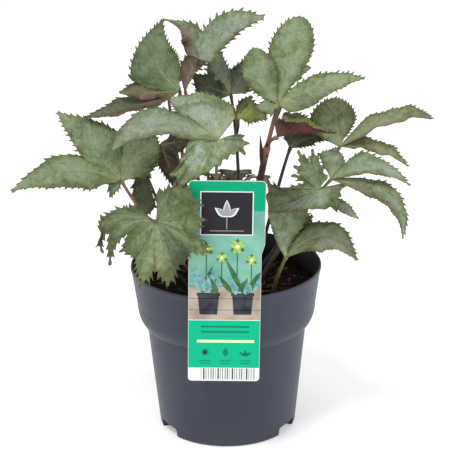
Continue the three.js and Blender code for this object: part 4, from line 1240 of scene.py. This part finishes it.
# Leaflets that run into each other are one blade of lobes. Anticlockwise, each lobe has a midrib
# from the hub through a first point to its tip, the share of that length which the notch after it
# leaves, its painted shading (under 1 a painted shade where the lobe lies in shadow, over 1 a
# painted light), and its longest spine.
LOBED = {
    "rim_left": (
        ((-69, -63, 221), (-80, -62, 228), 0.86, 0.85, 4),
        ((-85, -72, 226), (-102, -82, 225), 1.0, 0.85, 4.5),
        ((-94, -80, 223), (-105, -92, 200), 0.6, 0.9, 4.5),
        ((-87, -83, 216), (-97, -95, 190), 0.55, 0.85, 5),
        ((-73, -84, 209), (-87, -94, 200), 0.82, 0.9, 5),
        ((-65, -88, 197), (-70, -97, 173), 0.68, 1.1, 8),
        ((-53, -91, 198), (-49, -98, 172), 0.88, 1.1, 8),
        ((-43, -91, 204), (-35, -93, 186), 0.69, 0.5, 4),
        ((-35, -93, 212), (-15, -101, 200), 0.73, 1.05, 6.5),
        ((-37, -91, 224), (-20, -99, 228), 0.79, 1.0, 6.5),
        ((-40, -86, 232), (-22, -96, 240), 1.0, 0.9, 5),
        ((-46, -80, 236), (-32, -90, 253), 0.9, 1.0, 6.5),
        ((-52, -72, 233), (-43, -76, 251), 0.85, 1.0, 6),
        ((-57, -63, 228), (-57, -57, 241), 0.8, 0.9, 4)),
    "right_front": (
        ((83, -49, 243), (87, -47, 248), 0.9, 1.0, 1),
        ((81, -47, 247), (82, -44, 255), 0.9, 1.0, 1.5),
        ((77, -47, 253), (75, -41, 268), 0.66, 1.0, 4.5),
        ((72, -48, 253), (63, -41, 267), 0.78, 1.0, 5),
        ((69, -51, 248), (60, -46, 256), 0.72, 1.0, 5),
        ((69, -52, 245), (59, -50, 250), 0.44, 0.95, 5),
        ((69, -54, 241), (57, -58, 243), 0.95, 0.8, 6),
        ((58, -57, 240), (38, -64, 245), 0.98, 0.6, 6),
        ((57, -57, 235), (35, -64, 236), 0.98, 0.58, 2),
        ((57, -57, 230), (37, -64, 223), 1.0, 0.6, 1),
        ((65, -57, 230), (50, -62, 221), 1.0, 0.65, 0.8),
        ((71, -56, 230), (63, -60, 222), 1.0, 0.75, 0.8),
        ((77, -56, 230), (74, -60, 223), 1.0, 0.9, 0.8),
        ((82, -57, 231), (84, -63, 224), 1.0, 1.05, 0.8),
        ((86, -58, 233), (93, -66, 229), 0.9, 1.05, 3),
        ((89, -58, 237), (97, -68, 238), 0.9, 1.0, 4),
        ((90, -56, 241), (99, -67, 247), 0.8, 0.95, 2)),
    "centre_front": (
        ((-19, -56, 287), (-31, -63, 283), 1.0, 1.0, 1),
        ((-25, -60, 280), (-37, -70, 271), 1.0, 1.0, 2),
        ((-27, -63, 275), (-43, -75, 260), 0.9, 1.0, 4),
        ((-24, -66, 270), (-40, -78, 250), 1.0, 0.92, 3),
        ((-17, -64, 271), (-24, -75, 257), 0.97, 1.0, 1.2),
        ((-11, -61, 272), (-14, -71, 261), 0.95, 1.0, 1.2),
        ((-5, -58, 273), (-4, -67, 265), 0.95, 0.97, 1.5),
        ((-1, -56, 276), (2, -63, 270), 0.95, 0.9, 1.5),
        ((2, -54, 278), (8, -59, 273), 0.9, 0.85, 1.5),
        ((6, -53, 279), (16, -57, 273), 0.9, 0.8, 3.5),
        ((7, -51, 282), (18, -54, 280), 0.9, 0.75, 3.5),
        ((5, -50, 285), (16, -52, 286), 0.8, 0.65, 2)),
}
LOBE_TOOTH = ((0.0, 0.0), (0.1, 0.55), (0.2, 1.0), (0.38, 0.66), (0.58, 0.36), (0.8, 0.12))
LOBE_ROWS = (0.03, 0.1, 0.2, 0.32, 0.45, 0.58, 0.7, 0.8, 0.88, 0.95, 1.0)
# How far the outermost half lobes and the others reach from their midribs, in lobes.
LOBE_OPEN, LOBE_HALF = 0.3, 0.499
LOBE_SPACING = 4.6
LOBE_PLEAT = 1.3
LOBE_WAVE = 0.8
LOBE_CRUMPLE = 3.2


def spline(values, u):
    """A smooth line through values at u = 0, 1, 2 and on, a little past both ends."""
    before = values[0] + (values[0] - values[1]) * 0.6
    after = values[-1] + (values[-1] - values[-2]) * 0.6
    ends = [before, *values, after]
    i = int(clamp(math.floor(u), 0, len(values) - 2)) + 1
    f = u - i + 1
    a, b, c, d = ends[i - 1:i + 3]
    return 0.5 * (2 * b + (c - a) * f + (2 * a - 5 * b + 4 * c - d) * f ** 2
                  + (3 * b - a - 3 * c + d) * f ** 3)


def lobe_reach(lobes, u):
    """How far out the margin lies at u, as a share of the way to the lobes' tips."""
    before = math.floor(u)
    notch = lobes[before][2] if 0 <= before < len(lobes) - 1 else 0.8
    return 1 + (notch - 1) * (2 * abs(u - round(u))) ** 1.2


def lobe_stations(lobes, edge):
    """Places round a blade of lobes, each as u, which side of its lobe, rise of tooth and tooth."""
    stations = []
    for i in range(len(lobes)):
        for side in (-1, 1):
            outer = i + side in (-1, len(lobes))
            span = (edge(i) - edge(i + side * (LOBE_OPEN if outer else LOBE_HALF))).length
            teeth = int(clamp(round(span / LOBE_SPACING), 1, 5))
            for k in range(teeth):
                for share, rise in LOBE_TOOTH:
                    q = (k + share) / teeth
                    if q > (2 * LOBE_OPEN if outer else 1) or q == 0 and side < 0:
                        continue
                    if k == 0:
                        rise = max(0.8 - 1.6 * share, 0)
                    stations.append((i + side * q / 2, side, rise, 11 * i + 2 * k + side))
    return sorted(stations)[::-1]


def add_lobed_blade(bm, layers, leaf):
    """Lobes that run into each other, pleated along their midribs."""
    hub = Vector(leaf["hub"])
    lobes = LOBED[leaf["name"]]
    vias, ends, notches, lights, spines = zip(*lobes)
    tips = [Vector(end) for end in ends]
    controls = [control_through(hub, via, tip) for via, tip in zip(vias, tips)]
    last = len(lobes) - 1
    under = linear(leaf["tones"][1])
    tone = linear(leaf.get("lobe_tone", leaf["tones"][0]))

    def sheet(u, s):
        return on_curve(hub, spline(controls, u), spline(tips, u), s)

    def edge(u):
        return sheet(u, lobe_reach(lobes, u))

    def spine_at(u, side, rise, tooth, facing):
        """How far a tooth moves a point of the margin, across the margin and along it."""
        off_tip = abs(u - round(u))
        spine = rise * spline(spines, u) * (0.6 + 0.8 * draw(tooth))
        # Little stands in a deep notch, so that the notch stays open.
        notch = notches[int(clamp(math.floor(u), 0, last))]
        spine *= 1 - 1.5 * off_tip * clamp((0.95 - notch) / 0.15)
        along = (edge(u + 0.06) - edge(u - 0.06)).normalized()
        out = along.cross(facing).normalized()
        lean = min(rise, 0.4) if off_tip < 0.1 else rise
        return (0.85 * out - side * 0.5 * along * lean) * spine

    stations = lobe_stations(lobes, edge)

    def place(i, j, corner):
        u, side, rise, tooth = stations[i]
        w = LOBE_ROWS[j]
        s = lobe_reach(lobes, u) * w
        length = (spline(tips, u) - hub).length
        lobe = clamp(round(u), 0, last)
        point = sheet(u, s)
        across = (point - sheet(lobe, s)).length * (1 if u > lobe else -1)
        round_hub = sheet(u - 0.02, s) - sheet(u + 0.02, s)
        facing = round_hub.cross(sheet(u, s + 0.02) - sheet(u, s - 0.02))
        if w == 1.0 and rise > 0:
            point = point + spine_at(u, side, rise, tooth, facing)
        swell = LOBE_WAVE * (math.sin(2.2 * u + 1) + 0.7 * math.sin(5.1 * u)) * w * w
        pleat = LOBE_PLEAT * math.cos(2 * math.pi * u)
        crumple = LOBE_CRUMPLE * (noise.noise(point * 0.07) + 0.5 * noise.noise(point * 0.17))
        fan = min(length / 34, 1)
        point = point + facing.normalized() * (fan * (swell - pleat + crumple) * w)
        # Painted shading: the lobe's tone is darkened or lightened by its share, the more so
        # towards the margin.
        light = max(spline(lights, u), 0.3) ** (0.4 + 0.9 * w)
        corner[layers["lay"]] = Vector((s * length / 10, across / 10, 3.0 * lobe))
        corner[layers["seat"]] = Vector((s, w, draw(lobe)))
        corner[layers["tone"]] = stored(tone, light)
        corner[layers["under"]] = stored(under, light)
        return point

    mapped_grid(bm, len(stations) - 1, len(LOBE_ROWS) - 1, place)


def make_blade(leaf, looks):
    """All the leaflets of one leaf, as thick as leather, with a finer toothed margin."""
    bm = bmesh.new()
    layers = {
        "lay": bm.verts.layers.float_vector.new("lay"),
        "seat": bm.verts.layers.float_vector.new("seat"),
        "tone": bm.verts.layers.float_color.new("tone"),
        "under": bm.verts.layers.float_color.new("under"),
    }
    name = leaf["name"]
    if name in LOBED:
        add_lobed_blade(bm, layers, leaf)
    for one in leaf["leaflets"]:
        add_leaflet(bm, layers, leaf, one)
    piece = finish_piece("blade_" + name, bm, looks, ["leaf_" + name])
    thick = piece.modifiers.new("thickness", "SOLIDIFY")
    thick.thickness = BLADE_THICK * MM
    thick.offset = 0
    thick.material_offset = 1
    thick.material_offset_rim = 2
    return piece


# ---- Stems ------------------------------------------------------------------------------------


def petiole_line(leaf):
    """Start, control and end of the curve of a petiole's middle line above the soil."""
    hub = Vector(leaf["hub"])
    if "onto" in leaf:
        start = petiole_at(BY_NAME[leaf["onto"]], leaf["fork"])
    else:
        x, y = leaf["crown"]
        start = Vector((x, y, soil_height(x, y) + 1.5))
    return start, control_through(start, leaf["bend"], hub), hub


def petiole_at(leaf, t):
    return on_curve(*petiole_line(leaf), t)


def add_tube(bm, layers, points, radii, tones, change=(0, 1)):
    """A round tube through the points, whose tone changes between two shares of its length."""
    count, sides = len(points) - 1, 14
    travelled = [0.0]
    for a, b in zip(points, points[1:]):
        travelled.append(travelled[-1] + (b - a).length)

    def place(i, j, corner):
        along = (points[min(i + 1, count)] - points[max(i - 1, 0)]).normalized()
        first = Vector((1, 0, 0))
        first = (first - along * first.dot(along)).normalized()
        second = along.cross(first)
        angle = 2 * math.pi * j / sides
        share = (travelled[i] / travelled[-1] - change[0]) / (change[1] - change[0])
        corner[layers["lay"]] = Vector((math.cos(angle), travelled[i] / 10, math.sin(angle)))
        corner[layers["tone"]] = [lerp(a, b, eased(share)) for a, b in zip(*tones)]
        return points[i] + (first * math.cos(angle) + second * math.sin(angle)) * radii[i]

    made = mapped_grid(bm, count, sides, place)
    bmesh.ops.remove_doubles(bm, verts=made, dist=0.0005)


def petiole_points(leaf):
    steps = 44
    points = [petiole_at(leaf, i / steps) for i in range(steps + 1)]
    if "crown" in leaf:
        root = points[0]
        points = [root - UP_AXIS * 14, root - UP_AXIS * 7, *points]
    return points


def add_petiole(bm, layers, leaf):
    """A stem that swells at the hub; the cane is knotty, and thinner above its fork."""
    points = petiole_points(leaf)
    cane = leaf.get("cane")
    root, top = CANE_RADII if cane else BRANCH_RADII if "onto" in leaf else PETIOLE_RADII
    count = len(points) - 1
    radii = []
    for i, point in enumerate(points):
        share = i / count
        radius = lerp(root, top, share ** 0.8)
        if cane:
            radius = lerp(radius, CANE_ABOVE_FORK, eased((share - CANE_FORK + 0.01) / 0.07))
            radius += sum(NODE_SWELL * math.exp(-((share - node) / 0.012) ** 2)
                          for node in CANE_NODES)
        to_hub = (Vector(leaf["hub"]) - point).length
        radius += HUB_SWELL * math.exp(-((to_hub - 1.5) / 2.4) ** 2)
        radii.append(radius)
    radii[-1] = radii[-1] * 0.62
    # Both ends close in a point.
    points.append(points[-1] + (points[-1] - points[-2]).normalized() * 1.3)
    points.insert(0, points[0] - UP_AXIS * 0.6)
    radii = [0.001, *radii, 0.001]
    low, high = leaf.get("stem", (STEM_DARK, STEM_PINK))
    change = (CANE_FORK - 0.03, CANE_FORK + 0.06) if cane else (0.25, 0.95)
    add_tube(bm, layers, points, radii, (linear(low), linear(high)), change)


def add_bract(bm, layers, leaf, start, tip, width):
    """A dark pointed scale that clasps the cane at start and stands off at its tip."""
    foot, end = petiole_at(leaf, start), Vector(tip)
    points = [foot.lerp(end, i / 14) for i in range(15)]
    radii = [width * math.sin(math.pi * (0.12 + 0.88 * i / 14) ** 0.8) + 0.15 for i in range(15)]
    add_tube(bm, layers, points, radii, (linear((52, 26, 24)), linear((70, 30, 30))))


def make_stem(leaf, look):
    """A petiole, or the cane with its branches, up to the hub where the leaflets meet."""
    bm = bmesh.new()
    layers = {
        "lay": bm.verts.layers.float_vector.new("lay"),
        "tone": bm.verts.layers.float_color.new("tone"),
    }
    add_petiole(bm, layers, leaf)
    if leaf.get("cane"):
        add_bract(bm, layers, leaf, 0.56, (31.0, -3.5, 272), 1.7)
        add_bract(bm, layers, leaf, 0.62, (37.5, -3.5, 254), 1.3)
    for branch in LEAVES:
        if branch.get("onto") == leaf["name"]:
            add_petiole(bm, layers, branch)
    node = ("cane_" if leaf.get("cane") else "petiole_") + leaf["name"]
    bmesh.ops.recalc_face_normals(bm, faces=bm.faces)
    return finish_piece("stem_" + leaf["name"], bm, [look], [node])


# ---- Stage ------------------------------------------------------------------------------------


def make_floor():
    bm = bmesh.new()
    bmesh.ops.create_circle(bm, cap_ends=True, segments=64, radius=FLOOR_RADIUS)
    bmesh.ops.translate(bm, vec=(0, 0, -FLOOR_DROP), verts=bm.verts)
    bmesh.ops.transform(bm, matrix=Matrix.Scale(MM, 4), verts=bm.verts)
    floor = add_object("floor", bm, [floor_look()])


def make_camera():
    """A long lens that looks down on the pot at 20 degrees from the card's side."""
    back = Vector((0, -math.cos(CAMERA_TILT), math.sin(CAMERA_TILT)))
    level = Vector((1, 0, 0))
    rise = Vector((0, math.sin(CAMERA_TILT), math.cos(CAMERA_TILT)))
    right = level * math.cos(CAMERA_ROLL) + rise * math.sin(CAMERA_ROLL)
    up = rise * math.cos(CAMERA_ROLL) - level * math.sin(CAMERA_ROLL)
    lens = bpy.data.cameras.new("camera")
    lens.sensor_width = SENSOR_WIDTH
    lens.lens = SENSOR_WIDTH * FOCAL_LENGTH / PICTURE_WIDTH
    lens.clip_end = 50
    camera = bpy.data.objects.new("camera", lens)
    turn = Matrix((right, up, back)).transposed().to_4x4()
    place = Vector(CAMERA_TARGET) * MM + back * CAMERA_DISTANCE
    camera.matrix_world = Matrix.Translation(place) @ turn
    bpy.context.scene.collection.objects.link(camera)
    bpy.context.scene.camera = camera


def area_light(name, place, target, size, power):
    lamp = bpy.data.lights.new(name, "AREA")
    lamp.shape = "DISK"
    lamp.size = size
    lamp.energy = power
    light = bpy.data.objects.new(name, lamp)
    turn = (Vector(target) - Vector(place)).to_track_quat("-Z", "Y")
    light.matrix_world = Matrix.Translation(place) @ turn.to_matrix().to_4x4()
    bpy.context.scene.collection.objects.link(light)


def make_light():
    """Soft studio light: a big lamp high in front, a weaker one from the right, a pale room."""
    world = bpy.data.worlds.new("pale_room")
    world.use_nodes = True
    room = world.node_tree.nodes["Background"]
    room.inputs["Color"].default_value = (1.0, 1.0, 1.0, 1.0)
    room.inputs["Strength"].default_value = ROOM_LIGHT
    bpy.context.scene.world = world
    for lamp in LAMPS:
        area_light(*lamp)
    bpy.context.scene.view_settings.view_transform = "Standard"


# ---- The whole plant --------------------------------------------------------------------------

make_camera()
make_light()
make_floor()

make_pot()
make_soil()
litter = litter_look("soil_litter")
peat_tones = [(16, 11, 8), (30, 20, 15), (10, 7, 6)]
bark_tones = [(88, 50, 30), (58, 37, 26), (38, 26, 20)]
straw_tones = [(132, 110, 78), (100, 80, 54)]
scatter("peat_crumbs", crumb, peat_tones, litter, count=1500, seed=5)
scatter("bark_chips", bark_chip, bark_tones, litter, count=110, seed=8, clear=8)
scatter("straw_bits", straw, straw_tones, litter, count=40, seed=12, clear=16)

make_card_plate()
make_card_print()

blade_looks = [
    leaf_face("leaf_upper_side", "tone", vein=(166, 176, 146), midrib=(164, 176, 116),
              roughness=0.56, groove=0.5, vein_strength=0.1),
    leaf_face("leaf_underside", "under", vein=(150, 140, 122), midrib=(150, 134, 106),
              roughness=0.62, groove=-0.6, vein_strength=0.06),
    leaf_rim(),
]
red_stem = stem_look()
for leaf in LEAVES:
    make_blade(leaf, blade_looks)
    if "crown" in leaf:
        make_stem(leaf, red_stem)
